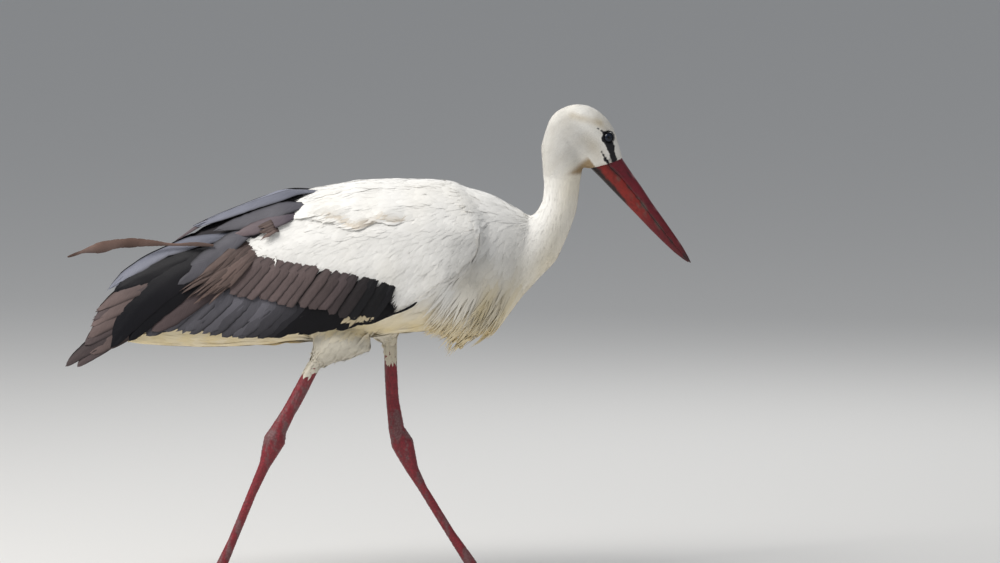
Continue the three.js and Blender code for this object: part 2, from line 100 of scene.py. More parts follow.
SKY = (0.86, 0.9, 0.96, 1)
SKY_STRENGTH = 0.36
world = bpy.data.worlds.new("studio")
world.use_nodes = True
background = world.node_tree.nodes["Background"]
background.inputs["Color"].default_value = SKY
background.inputs["Strength"].default_value = SKY_STRENGTH
bpy.context.scene.world = world


def new_material(name, roughness, **sockets):
    """A material, its node tree and its shader. Other sockets are given by name, with _ for a space."""
    made = bpy.data.materials.new(name)
    made.use_nodes = True
    shader = made.node_tree.nodes["Principled BSDF"]
    shader.inputs["Roughness"].default_value = roughness
    for socket, value in sockets.items():
        shader.inputs[socket.replace("_", " ")].default_value = value
    return made, made.node_tree, shader


def add_object(name, data):
    made = bpy.data.objects.new(name, data)
    bpy.context.scene.collection.objects.link(made)
    return made


def object_from(name, shape):
    """An object from a finished bmesh, with smooth faces."""
    for face in shape.faces:
        face.smooth = True
    data = bpy.data.meshes.new(name)
    shape.to_mesh(data)
    shape.free()
    return add_object(name, data)


FLOOR_REACH = 150.0
FLOOR_GAP = 0.5 * MM  # the floor lies this far under the soles, so that the two never flicker
FLOOR_COLOUR = (0.72, 0.71, 0.69, 1)
floor_shape = bmesh.new()
bmesh.ops.create_grid(floor_shape, x_segments=1, y_segments=1, size=FLOOR_REACH)
bmesh.ops.translate(floor_shape, vec=(0, 2, -FLOOR_GAP), verts=floor_shape.verts)
floor = object_from("floor", floor_shape)
floor.data.materials.append(new_material("pale_floor", 0.9, Base_Color=FLOOR_COLOUR)[0])

# %% [markdown]
# ## Reading the frame
# The frame's solids are plain triangles. These helpers turn them into arrays and search trees, so that any
# point of the bird can be asked for its nearest named part.

# %% Frame helpers
def node_arrays(*names):
    """Vertices and triangles of some of the frame's solids, in one pair of arrays."""
    places, faces, start = [], [], 0
    for name in names:
        data = nodes[name].data
        co = np.empty(len(data.vertices) * 3, np.float32)
        data.vertices.foreach_get("co", co)
        data.calc_loop_triangles()
        tri = np.empty(len(data.loop_triangles) * 3, np.int32)
        data.loop_triangles.foreach_get("vertices", tri)
        places.append(co.reshape(-1, 3).astype(float))
        faces.append(tri.reshape(-1, 3) + start)
        start += len(places[-1])
    return np.concatenate(places), np.concatenate(faces)


def search_tree(*names):
    places, faces = node_arrays(*names)
    return BVHTree.FromPolygons(places.tolist(), faces.tolist())


def unit(v):
    return v / np.maximum(np.linalg.norm(v, axis=-1, keepdims=True), 1e-12)


def wing_nodes(*layers):
    return [f"wing_{side}_{layer}" for side in SIDES for layer in layers]


BODY = ["head", "neck_upper", "neck_lower", "breast", "trunk", "tail_coverts"]
THIGHS = ["thigh_right", "thigh_left"]
WHITE_WING = wing_nodes("coverts")
DARK_WING = wing_nodes("greater_coverts", "tertials", "secondaries")
TOES = [f"toe_{side}_{toe}" for side in SIDES for toe in ("inner", "middle", "outer", "back")]
LEGS = [f"{part}_{side}" for side in SIDES for part in ("shank", "tarsus", "foot")]
dark_tree = search_tree(*DARK_WING, *wing_nodes("primaries"))

WHITE_LINE = [  # where the white coverts end over the dark wing, seen from the side: forward, up
    (-92, 551), (-96, 543), (-118, 521), (-138, 502), (-155, 486), (-188, 481), (-169, 458), (-145, 449),
    (-124, 445), (-96, 445), (-68, 439), (-40, 434), (-16, 425), (5, 418), (22, 411), (24, 399), (28, 386),
]
WHITE_AREA = np.array([(-92, 640)] + WHITE_LINE + [(60, 300), (400, 300), (400, 640)]) * MM


def in_white(points):
    """True for points that lie on the white side of the wing's border, seen from the side."""
    x, z = points[:, 0], points[:, 2]
    inside = np.zeros(len(points), bool)
    for (x1, z1), (x2, z2) in zip(WHITE_AREA, np.roll(WHITE_AREA, -1, axis=0)):
        crosses = (z1 > z) != (z2 > z)
        inside ^= crosses & (x < x1 + (z - z1) * (x2 - x1) / (z2 - z1 + 1e-12))
    return inside


def distance_to(tree, points):
    return np.array([tree.find_nearest(p)[3] for p in points.tolist()])


# %% [markdown]
# ## Markings and painted light
# Skin and plumage must carry the same marks and the same painted light and shade, so one function gives the
# colour of any point. The head's marks are drawn in the head's own frame: `along` the bill from its root and
# `up` across it. Each border is a smooth step between two places on the bird, in metres, and the plumage adds
# its own ragged edge.

# %% Colour of any point
BILL_ROOT = np.array((321.1, 0, 576.9)) * MM
BILL_DROP = math.radians(49.8)
BILL_AHEAD = np.array((math.cos(BILL_DROP), 0, -math.sin(BILL_DROP)))
BILL_UP = np.array((math.sin(BILL_DROP), 0, math.cos(BILL_DROP)))
EYE_ALONG, EYE_UP, EYE_OUT = -34.6 * MM, 25.6 * MM, 14.6 * MM

WHITE = np.array((0.88, 0.865, 0.83))
IVORY = np.array((0.85, 0.79, 0.66))
# The next colour is part stain and part painted light bounced up from the ground.
CREAM_STAIN_AND_BOUNCE = np.array((0.80, 0.665, 0.385))
# The next colour is painted shade on the thighs.
THIGH_PAINTED_SHADE = np.array((0.56, 0.52, 0.43))
# The next colour is a smudge on brow and crown and painted shade on the cheek.
SMUDGE_AND_SHADE = np.array((0.54, 0.45, 0.30))
BARE_BLACK = np.array((0.012, 0.011, 0.014))
LORE_GREY = np.array((0.16, 0.155, 0.15))
CHIN_SKIN = np.array((0.40, 0.29, 0.17))
WING_BLACK = np.array((0.022, 0.019, 0.022))
# The next colour is a brownish painted shade under the lip of the wing's fold.
FOLD_PAINTED_SHADE = np.array((0.60, 0.50, 0.37))
PLUME_LIE = np.array((0.42, 0, 0.91))  # the breast's plumes hang along this
THROAT_LINE = ((0.42, 0.47, 0.52, 0.57), (0.200, 0.225, 0.240, 0.252))  # up, forward: where the ivory begins
FOLDS = {  # lines seen from the side (forward, up) with the raised side on their left
    "ridge": [(-118, 519), (-84, 515), (-54, 511), (-46, 504), (-29, 500), (-4, 508), (7, 514), (15, 509),
              (32, 508), (44, 514)],
    "wing_edge": [(40, 385), (53, 395), (90, 421), (121, 435), (138, 463), (144, 480), (142, 500),
                  (126, 519)],
}


def step(low, high, value):
    t = np.clip((value - low) / (high - low), 0, 1)
    return t * t * (3 - 2 * t)


def ripple(points, size, seed):
    """Smooth noise in -1..1 from a few crossed sine waves of about the given wavelength."""
    draw = np.random.default_rng(seed)
    total = np.zeros(len(points))
    for _ in range(7):
        wave = draw.normal(size=3)
        wave *= 2 * math.pi / (size * draw.uniform(0.7, 1.5)) / np.linalg.norm(wave)
        total += np.sin(points @ wave + draw.uniform(0, 6.28))
    return total / 4


def spot(along, up, at_along, at_up, long, high):
    """A soft oval spot, 1 in its middle."""
    return np.exp(-(((along - at_along) / long) ** 2) - ((up - at_up) / high) ** 2)


def near_line(a, b, start, end):
    """Distance to a straight stroke in the head's frame, its ends given in millimetres."""
    start, end = np.array(start) * MM, np.array(end) * MM
    way = end - start
    t = np.clip(((a - start[0]) * way[0] + (b - start[1]) * way[1]) / (way @ way), 0, 1)
    return np.hypot(a - start[0] - t * way[0], b - start[1] - t * way[1])


def fold_distance(points, name):
    """Signed distance to a fold, positive on its raised side, and how far along the fold the point lies."""
    flat = points[:, [0, 2]]
    line = np.array(FOLDS[name]) * MM
    run = np.concatenate(([0], np.cumsum(np.linalg.norm(np.diff(line, axis=0), axis=1))))
    best, signed, share = np.full(len(flat), 9.0), np.zeros(len(flat)), np.zeros(len(flat))
    for k, (start, end) in enumerate(zip(line, line[1:])):
        way = end - start
        t = np.clip((flat - start) @ way / (way @ way), 0, 1)
        offset = flat - start - t[:, None] * way
        far = np.linalg.norm(offset, axis=1)
        left = np.sign(way[0] * offset[:, 1] - way[1] * offset[:, 0])
        nearer = far < best
        best = np.where(nearer, far, best)
        signed = np.where(nearer, far * left, signed)
        share = np.where(nearer, (run[k] + t * np.linalg.norm(way)) / run[-1], share)
    return signed, share


def near_folds(points, name):
    """Distance above a fold's lower lip, large elsewhere."""
    signed, share = fold_distance(points, name)
    inside = (signed > -0.001) & (share > 0.25) & (share < 0.98)
    return np.where(inside, np.abs(signed), 1.0)


def head_frame(points):
    offset = points - BILL_ROOT
    return offset @ BILL_AHEAD, offset @ BILL_UP


def head_share(points):
    """1 on the head and 0 on the neck."""
    return step(-0.115, -0.095, head_frame(points)[0]) * step(0.55, 0.57, points[:, 2])


def mix(base, paint, amount):
    return base * (1 - amount[:, None]) + paint * amount[:, None]


EYE_RING = 9.0 * MM
FACE_STROKES = [  # start and end (along, up) and half width, in millimetres
    ((-33, 24), (-20, 18.6), 5.2), ((-22, 19), (-4, 11), 3.7),  # lores, from the eye to the bill
    ((-38, 26), (-44, 25), 2.1), ((-44, 25), (-49, 24), 1.3), ((-49, 24), (-54, 23), 0.6),  # behind the eye
    ((-25.5, 5.8), (-14, 3.4), 1.0), ((-15, 3.4), (-1, 2.2), 1.7),  # over the gape
]


def face_ink(points):
    """How far each point lies in the bare black skin: the eye ring, the lores and two short streaks."""
    along, up = head_frame(points)
    wobble = 0.8 * MM * ripple(points, 6 * MM, 4)
    ink = step(EYE_RING + 0.9 * MM, EYE_RING - 0.5 * MM, np.hypot(along - EYE_ALONG, up - EYE_UP) + wobble)
    for start, end, half in FACE_STROKES:
        distance = near_line(along, up, start, end) + wobble
        ink = np.maximum(ink, step((half + 0.9) * MM, (half - 0.5) * MM, distance))
    return ink * step(4 * MM, 10 * MM, np.abs(points[:, 1]))


def body_paint(points):
    """Ivory neck, streaky cream breast and belly that is part stain and part painted bounce light from the
    ground, thighs in painted shade and a painted shade under the lip of the wing's fold.
    """
    x, y, z = points[:, 0], np.abs(points[:, 1]), points[:, 2]
    throat = step(-0.01, 0.02, x - np.interp(z, *THROAT_LINE)) * step(0.60, 0.55, z)
    neck = (0.25 + 0.6 * throat) * step(0.17, 0.21, x) * step(0.40, 0.45, z)
    breast = step(0.47, 0.375, z) * step(0.09, 0.14, x)
    belly = step(0.41, 0.355, z) * step(0.265, 0.30, z) * step(0.088, 0.078, y)
    # The thighs lie in the wing's shade: they are darkened by painted shade and carry less cream.
    thigh = step(0.352, 0.335, z) * step(-0.13, -0.09, x) * step(0.07, 0.05, x)
    streak = ripple(points - 0.8 * (points @ PLUME_LIE)[:, None] * PLUME_LIE, 0.020, 2)
    # The cream is partly the plumage's own stain and partly painted light bounced up from the ground.
    cream = np.maximum(breast * (0.6 + 0.25 * streak), 0.9 * belly * (0.9 + 0.15 * streak))
    cream = cream * (1 - 0.55 * thigh)
    # lip is a brownish painted shade just under the ridge of the wing's fold.
    lip = step(0.008, 0.001, near_folds(points, "ridge")) * step(0.03, 0.05, y)
    colour = np.tile(WHITE, (len(points), 1))
    colour = mix(colour, IVORY, np.clip(neck + 0.15 * ripple(points, 0.07, 1), 0, 1))
    colour = mix(colour, CREAM_STAIN_AND_BOUNCE, np.clip(cream, 0, 1))
    colour = mix(colour, THIGH_PAINTED_SHADE, 0.7 * thigh)
    return mix(colour, FOLD_PAINTED_SHADE, 0.6 * lip)


def head_paint(points, colour):
    """Smudged brow and crown, a cheek in painted shade, mottled lores and bare black skin, on the head only.
    """
    along, up = head_frame(points)
    side, on_head = np.abs(points[:, 1]), head_share(points)
    brow = spot(along, up, -0.052, 0.031, 0.020, 0.007)
    # The cheek's spot is painted shade; the brow and the crown carry real smudges.
    cheek = spot(along, up, -0.040, 0.002, 0.018, 0.010)
    crown = np.exp(-((near_line(along, up, (-89, 8), (-57, 30)) / 0.005) ** 2)) * step(0.003, 0.008, side)
    smudge_and_shade_amount = np.clip(0.3 * brow + 0.45 * crown + 0.42 * cheek + 0.10 * ripple(points, 0.02, 3), 0, 0.8)
    lores = spot(along, up, -0.006, 0.010, 0.007, 0.006) * step(0.004, 0.010, side)
    mottle = np.clip(lores * (0.75 + 0.35 * ripple(points, 0.004, 14)), 0, 0.9)
    colour = mix(colour, SMUDGE_AND_SHADE, on_head * smudge_and_shade_amount)
    colour = mix(colour, LORE_GREY, on_head * mottle)
    return mix(colour, BARE_BLACK, on_head * face_ink(points))


def dusk(points):
    """How much painted shade darkens the wing's wrist, the breast beside it and the jaw."""
    x, z = points[:, 0], points[:, 2]
    along, up = head_frame(points)
    off_keel = step(0.02, 0.05, np.abs(points[:, 1]))
    wrist = step(0.08, 0.112, x) * step(0.15, 0.125, x) * step(0.395, 0.43, z) * step(0.505, 0.475, z)
    breast = step(0.115, 0.15, x) * step(0.215, 0.19, x) * step(0.50, 0.45, z)
    jaw = head_share(points) * step(-0.02, -0.06, along) * step(0.016, -0.004, up)
    return 0.26 * wrist * off_keel + 0.22 * breast * off_keel + 0.28 * jaw


def bare_chin(points):
    along, up = head_frame(points)
    chin = step(-0.0135, -0.0165, up + 0.08 * (along + 0.01)) * step(-0.036, -0.026, along)
    return head_share(points) * chin * step(0.565, 0.572, points[:, 2])


def markings_and_painted_light(points, dark=None):
    """Linear colour of the bird's outside at each point; dark is the share of black wing skin."""
    # dusk() gives painted shade, multiplied into the colour here.
    colour = head_paint(points, body_paint(points)) * (1 - dusk(points))[:, None]
    colour = mix(colour, CHIN_SKIN, bare_chin(points))
    return colour if dark is None else mix(colour, WING_BLACK, dark)


# %% [markdown]
# ## Skin
# Under the feathers the bird is one body, so the skin is one mesh. The solids of flesh are copied, merged,
# swollen by a hair so that they bite into each other, and fused by a voxel remesh. A few smoothing passes
# melt the joints, and then the skin is drawn in by the depth of the coat that will cover it. The bare legs
# are fused apart, with finer voxels, because their scales are real relief.

# %% Fusing solids
def fuse(name, parts, swell, voxel, rounds):
    """One closed mesh over some of the frame's solids."""
    joined = bmesh.new()
    for part in parts:
        joined.from_mesh(nodes[part].data)
    bmesh.ops.remove_doubles(joined, verts=joined.verts, dist=1e-6)
    joined.normal_update()
    for vert in joined.verts:
        vert.co += vert.normal * swell
    made = object_from(name, joined)
    remesh = made.modifiers.new("fuse", "REMESH")
    remesh.mode = "VOXEL"
    remesh.voxel_size = voxel
    relax = made.modifiers.new("relax", "SMOOTH")
    relax.iterations = rounds
    relax.factor = 0.5
    bake_modifiers(made)
    return made


def bake_modifiers(piece):
    """Makes a piece's modifiers final."""
    depsgraph = bpy.context.evaluated_depsgraph_get()
    final = bpy.data.meshes.new_from_object(piece.evaluated_get(depsgraph))
    old = piece.data
    piece.modifiers.clear()
    piece.data = final
    bpy.data.meshes.remove(old)
    final.name = piece.name


def get_points(data):
    co = np.empty(len(data.vertices) * 3)
    data.vertices.foreach_get("co", co)
    return co.reshape(-1, 3)


def get_normals(data):
    out = np.empty(len(data.vertices) * 3)
    data.vertex_normals.foreach_get("vector", out)
    return out.reshape(-1, 3)


def set_points(data, points):
    data.vertices.foreach_set("co", np.ascontiguousarray(points, dtype=np.float32).ravel())
    data.update()


def paint(data, colours, name="Tint"):
    layer = data.color_attributes.new(name, "FLOAT_COLOR", "POINT")
    rgba = np.ones((len(data.vertices), 4), np.float32)
    rgba[:, :3] = colours
    layer.data.foreach_set("color", rgba.ravel())


HEMS = {"right": (16, 0.3, 62), "left": (22, 0.0, 48)}  # rise, lean forward and reach above, in millimetres


def hem_of(side, points):
    """Level of a thigh's lower edge, and the share of each point that lies on that side of the bird."""
    level = node_arrays(f"thigh_{side}")[0][:, 2].min()
    return level, step(0, 0.004, SIDES[side] * points[:, 1])


def draw_up_hems(points):
    """Draws the lower edge of each feathered thigh up its shin, and the shin with it."""
    moved = points.copy()
    x, z = points[:, 0], points[:, 2]
    for side, (rise, lean, reach) in HEMS.items():
        level, mine = hem_of(side, points)
        hem = level + 4 * MM
        lift = rise * MM * step(hem - 50 * MM, hem, z) * step(hem + reach * MM, hem + 2 * MM, z)
        lift = lift * mine * step(-0.15, -0.12, x) * step(0.08, 0.05, x)
        moved[:, 2] += lift
        moved[:, 0] += lean * lift
    return moved


# %% Skin of the body
MANTLE = (0.085, 0.165, 0.50)  # rear, front and lowest level of the shoulders' top
FACE = (0.272, 0.572, 0.64)  # rear, lowest and highest level of the fine face
RELIEF = {"ridge": (3.2, 13, 2.4), "wing_edge": (1.8, 16, 1.8)}  # a fold's rise, reach and sink in mm
COAT = 2.2  # depth of the coat on the body, in millimetres


def melt_mantle(piece):
    """Smooths the shoulders, where the wings' solids start out of the back."""
    rear, front, low = MANTLE
    x, _, z = get_points(piece.data).T
    group = piece.vertex_groups.new(name="mantle")
    for index in np.flatnonzero((x > rear) & (x < front) & (z > low)).tolist():
        group.add([index], 1.0, "REPLACE")
    melt = piece.modifiers.new("melt", "SMOOTH")
    melt.vertex_group = "mantle"
    melt.iterations = 40
    bake_modifiers(piece)
    piece.vertex_groups.clear()


def coat_depth(points):
    """How far the skin lies inside the solids, in millimetres: thin on the head, and shaped by the folds."""
    x, y, z = points[:, 0], np.abs(points[:, 1]), points[:, 2]
    off_head = 1 - head_share(points)
    depth = COAT - 1.3 * (1 - off_head) - 0.5 * step(0.48, 0.54, z) * step(0.15, 0.2, x)
    for name, (rise, reach, sink) in RELIEF.items():
        signed, share = fold_distance(points, name)
        ends = step(0, 0.15, share) * step(1, 0.85, share) * step(0.03, 0.045, y)
        above = rise * np.exp(-((signed / (reach * MM)) ** 2))
        below = -sink * np.exp(-((signed / (5 * MM)) ** 2))
        depth -= np.where(signed > 0, above, below) * ends
    return depth - 0.5 * ripple(points, 0.06, 12) * off_head * step(0.36, 0.40, z)


def refine_face(piece):
    """Cuts the face finer, so that the mask's border is sharp."""
    rear, low, high = FACE
    shape = bmesh.new()
    shape.from_mesh(piece.data)
    fine = [e for e in shape.edges if all(v.co.x > rear and low < v.co.z < high for v in e.verts)]
    bmesh.ops.subdivide_edges(shape, edges=fine, cuts=3, use_grid_fill=True)
    shape.to_mesh(piece.data)
    shape.free()


def wing_skin(points):
    """1 where the skin belongs to the black part of the wing."""
    wing = search_tree(*WHITE_WING, *DARK_WING)
    body = search_tree(*BODY, *THIGHS)
    return ((distance_to(wing, points) < distance_to(body, points)) & ~in_white(points)).astype(float)


skin = fuse("skin", BODY + THIGHS + WHITE_WING + DARK_WING, 0.5 * MM, 3.0 * MM, 7)
melt_mantle(skin)
points = get_points(skin.data)
inward = get_normals(skin.data) * coat_depth(points)[:, None] * MM
set_points(skin.data, draw_up_hems(points - inward))
refine_face(skin)
points = get_points(skin.data)
paint(skin.data, markings_and_painted_light(points, wing_skin(points)))
print("skin:", len(skin.data.polygons), "faces")

# %% [markdown]
# ## Bare legs
# Stork legs are clad in small knobbly scales, larger over the heel. Seeds strewn over the shins each own the
# skin nearest to them. The border between two neighbours sinks and the middle swells, so the scales are
# true relief. The shin's upper end is tucked in under the thigh's feathers.

# %% Scaly legs
LEG_RED = np.array((0.235, 0.014, 0.024))
LEG_GREY = np.array((0.155, 0.105, 0.105))
LEG_DEEP = np.array((0.10, 0.012, 0.016))
HEEL_LEVEL = 0.205
SCALE_BORDER = 2.6 * MM
SCALE_RISE = 0.42 * MM
VERTICES_PER_SCALE = 9


def scale_cells(points, seeds):
    """For each point the seed that owns it, and how far it lies inside that seed's cell."""
    tree = KDTree(len(seeds))
    for index, seed in enumerate(seeds.tolist()):
        tree.insert(seed, index)
    tree.balance()
    pairs = [tree.find_n(p, 2) for p in points.tolist()]
    inside = np.array([two[1][2] - two[0][2] for two in pairs]) / SCALE_BORDER
    return np.array([two[0][1] for two in pairs]), inside


def leg_paint(points, scale_tone, relief):
    """Red scales with a tone each, dark seams, and grey dust on heels and feet."""
    z = points[:, 2]
    dusty = 0.9 * np.exp(-(((z - HEEL_LEVEL) / 0.022) ** 2)) + 0.5 * step(0.1, 0.0, z)
    smear = ripple(points * np.array((1, 1, 0.35)), 0.013, 5) + 0.5 * ripple(points, 0.006, 13)
    dust = step(-0.3, 0.9, smear + 0.15 * scale_tone - 0.25 + dusty)
    colour = mix(LEG_RED * (1 + 0.16 * scale_tone[:, None]), LEG_GREY, 0.72 * dust)
    return mix(colour, LEG_DEEP, 0.65 * (1 - relief))


legs = fuse("legs", LEGS + TOES, 0.5 * MM, 1.25 * MM, 4)
points, normals = get_points(legs.data), get_normals(legs.data)
draw = np.random.default_rng(11)
seeds = points[draw.permutation(len(points))[: len(points) // VERTICES_PER_SCALE]]
owner, inside = scale_cells(points, seeds)
scale_tone = draw.uniform(-1, 1, len(seeds))[owner]
relief = step(0.0, 0.45, inside)
set_points(legs.data, points + normals * ((relief - 0.6) * SCALE_RISE)[:, None])
points = get_points(legs.data)
points[:, 2] = np.maximum(points[:, 2], 0.0)
leg_colour = leg_paint(points, scale_tone, relief)
for side in SIDES:  # under the thigh's hem the shin is narrow and as pale as the down around it, in the same painted shade
    level, mine = hem_of(side, points)
    hem = level + 8 * MM
    leg_colour = mix(leg_colour, THIGH_PAINTED_SHADE, mine * step(hem - 3 * MM, hem + 1 * MM, points[:, 2]))
    points -= normals * (2.8 * MM * mine * step(hem, hem + 10 * MM, points[:, 2]))[:, None]
set_points(legs.data, draw_up_hems(points))
paint(legs.data, leg_colour)
print("legs:", len(legs.data.polygons), "faces,", len(seeds), "scales")


# %% [markdown]
# ## Ways to colour
# Feathers, skin and horn take their colour from the mesh itself. The shader adds the fine grain that a real
# surface has at that scale: barbs that run out from a shaft, dust, or fibres in horn.

# %% Material helpers
def add(tree, kind, inputs=(), **settings):
    """A shader node with settings, and inputs given as sockets or values."""
    node = tree.nodes.new("ShaderNode" + kind)
    for key, value in settings.items():
        setattr(node, key, value)
    for key, value in dict(inputs).items():
        if isinstance(value, bpy.types.NodeSocket):
            tree.links.new(value, node.inputs[key])
        else:
            node.inputs[key].default_value = value
    return node


def shade(tree, colour, amount, low, high):
    """Colour multiplied by a value that runs from low to high with amount."""
    span = add(tree, "MapRange", {0: amount, 3: low, 4: high})
    return add(tree, "VectorMath", {0: colour, 1: span.outputs[0]}, operation="MULTIPLY").outputs[0]


def feather_material(name, roughness, barb, contrast, bump, **sockets):
    """Vane finish: barbs slant away from the shaft, coarser on some parts of the bird than on others."""
    made, tree, shader = new_material(name, roughness, **sockets)
    tint = add(tree, "Attribute", attribute_name="Tint").outputs["Color"]
    vane = add(tree, "UVMap", uv_map="Vane").outputs[0]
    parts = add(tree, "SeparateXYZ", {0: vane})
    side = add(tree, "Math", {0: parts.outputs[0]}, operation="ABSOLUTE")
    slant = add(tree, "Math", {0: side.outputs[0], 1: -2.0, 2: parts.outputs[1]}, operation="MULTIPLY_ADD")
    flow = add(tree, "CombineXYZ", {0: slant.outputs[0], 1: side.outputs[0]})
    barbs = add(tree, "Mapping", {0: flow.outputs[0], 3: (1 / barb, 0.12 / barb, 1)}).outputs[0]
    strands = add(tree, "TexNoise", {"Vector": barbs, "Scale": 1.0, "Detail": 3.0, "Roughness": 0.65})
    place = add(tree, "TexCoord").outputs["Object"]
    wear = add(tree, "TexNoise", {"Vector": place, "Scale": 38.0, "Detail": 4.0, "Roughness": 0.6})
    colour = shade(tree, tint, strands.outputs[0], 1 - contrast, 1 + contrast)
    colour = shade(tree, colour, wear.outputs[0], 1 - 0.6 * contrast, 1 + 0.6 * contrast)
    tree.links.new(colour, shader.inputs["Base Color"])
    raised = add(tree, "Bump", {"Height": strands.outputs[0], "Strength": bump, "Distance": 0.0006})
    tree.links.new(raised.outputs[0], shader.inputs["Normal"])
    return made


def skin_material(name, roughness, scale, contrast, bump, **sockets):
    """Skin or horn: its own colours, broken by fine grain that is also a low relief."""
    made, tree, shader = new_material(name, roughness, **sockets)
    tint = add(tree, "Attribute", attribute_name="Tint").outputs["Color"]
    place = add(tree, "TexCoord").outputs["Object"]
    grain = add(tree, "TexNoise", {"Vector": place, "Scale": scale, "Detail": 5.0, "Roughness": 0.65})
    colour = shade(tree, tint, grain.outputs[0], 1 - contrast, 1 + contrast)
    tree.links.new(colour, shader.inputs["Base Color"])
    raised = add(tree, "Bump", {"Height": grain.outputs[0], "Strength": bump, "Distance": 0.0005})
    tree.links.new(raised.outputs[0], shader.inputs["Normal"])
    return made


WHITE_VANE = feather_material("white_vane", 0.8, 0.0011, 0.05, 0.25, Specular_IOR_Level=0.25)
BLACK_VANE = feather_material("black_vane", 0.5, 0.0014, 0.35, 0.4, Specular_IOR_Level=0.16)
BROWN_VANE = feather_material("brown_vane", 0.66, 0.0014, 0.38, 0.6, Specular_IOR_Level=0.3)
SKIN_DOWN = skin_material("down_skin", 0.9, 300, 0.06, 0.3)
LEG_HORN = skin_material("leg_scales", 0.5, 420, 0.22, 0.35)


def finish_piece(piece, materials, slot, *replaced):
    """Gives a piece its finish and its body, and hides the nodes it stands for. slot is not used."""
    for one in (materials if isinstance(materials, tuple) else (materials,)):
        piece.data.materials.append(one)
    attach(piece, "root")
    if replaced:
        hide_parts(*replaced)
    return piece


# %% Join the legs to the body skin
for polygon in legs.data.polygons:
    polygon.material_index = 1
joined = bmesh.new()
joined.from_mesh(skin.data)
joined.from_mesh(legs.data)
for face in joined.faces:
    face.smooth = True
joined.to_mesh(skin.data)
joined.free()
bpy.data.objects.remove(legs)
finish_piece(skin, (SKIN_DOWN, LEG_HORN), "plumage_white",
             *BODY, *THIGHS, *WHITE_WING, *DARK_WING, *LEGS, *TOES)
print("skin with legs:", len(skin.data.polygons), "faces")


# %% [markdown]
# ## One vane, many feathers
# Every feather here is the same small closed form: a grid of a few columns for the vane, arched over its
# shaft, and a flat underside that shares its rim. Its rows follow a bent path, its rim follows a width
# profile and its tip columns run out unevenly, as worn barbs do. Arrays hold all feathers of a piece at
# once, so thousands are one mesh.

# %% Feather mesh from arrays
def vane_faces(rows, cols):
    """Triangles of one closed vane: arched top, flat underside, shared rim."""
    at = np.arange(rows * cols).reshape(rows, cols)
    a, b, c, d = (part.ravel() for part in (at[:-1, :-1], at[:-1, 1:], at[1:, 1:], at[1:, :-1]))
    faces = [np.stack((a, b, c), 1), np.stack((a, c, d), 1)]
    left, right = at[:, 0], at[:, -1]
    faces.append(np.stack((left[:-1], left[1:], right[:-1]), 1))
    faces.append(np.stack((right[:-1], left[1:], right[1:]), 1))
    for row, turn in ((at[0], 1), (at[-1], -1)):
        fan = [(row[0], row[k + 1], row[k])[::turn] for k in range(1, cols - 1)]
        faces.append(np.array(fan))
    return np.concatenate(faces)


def feather_piece(name, grid, tint, across, along, patch, flip=False, sharp=50):
    """One object from feathers laid out as arrays of feather, row, column."""
    count, rows, cols, _ = grid.shape
    one = vane_faces(rows, cols)
    if not flip:
        one = one[:, ::-1]
    faces = (one[None] + (np.arange(count) * rows * cols)[:, None, None]).reshape(-1, 3)
    data = bpy.data.meshes.new(name)
    data.vertices.add(count * rows * cols)
    data.vertices.foreach_set("co", grid.astype(np.float32).ravel())
    data.loops.add(faces.size)
    data.loops.foreach_set("vertex_index", faces.astype(np.int32).ravel())
    data.polygons.add(len(faces))
    data.polygons.foreach_set("loop_start", np.arange(0, faces.size, 3, dtype=np.int32))
    data.polygons.foreach_set("use_smooth", np.ones(len(faces), bool))
    data.update(calc_edges=True)
    data.set_sharp_from_angle(angle=math.radians(sharp))
    paint(data, tint.reshape(-1, 3))
    for layer, u, v in (("OFBake", patch[..., 0], patch[..., 1]), ("Vane", across, along)):
        uv = np.stack((u.ravel(), v.ravel()), 1)[faces.ravel()].astype(np.float32)
        data.uv_layers.new(name=layer).data.foreach_set("uv", uv.ravel())
    print(f"{name}: {count} feathers, {len(faces)} triangles")
    return add_object(name, data)


def profile(u, root, full, taper, point=0.0):
    """Half width along a vane, 0..1: narrow at the quill, full, then rounded or pointed at the tip."""
    opening = root + (1 - root) * step(0, full, u)
    t = np.clip((u - taper) / (1 - taper), 0, 1)
    return opening * (np.sqrt(np.maximum(1 - t**2, 0)) * (1 - point) + (1 - t) * point)


# %% [markdown]
# ## The lie of the coat
# Small feathers grow from points strewn evenly over the skin. Each one needs a direction, a length, a width
# and a lift. A feather maker pins a few guide feathers and combs the rest between them; the guides here are
# rows of place (forward, out to the side, up), direction, length, half width and lift, in millimetres.

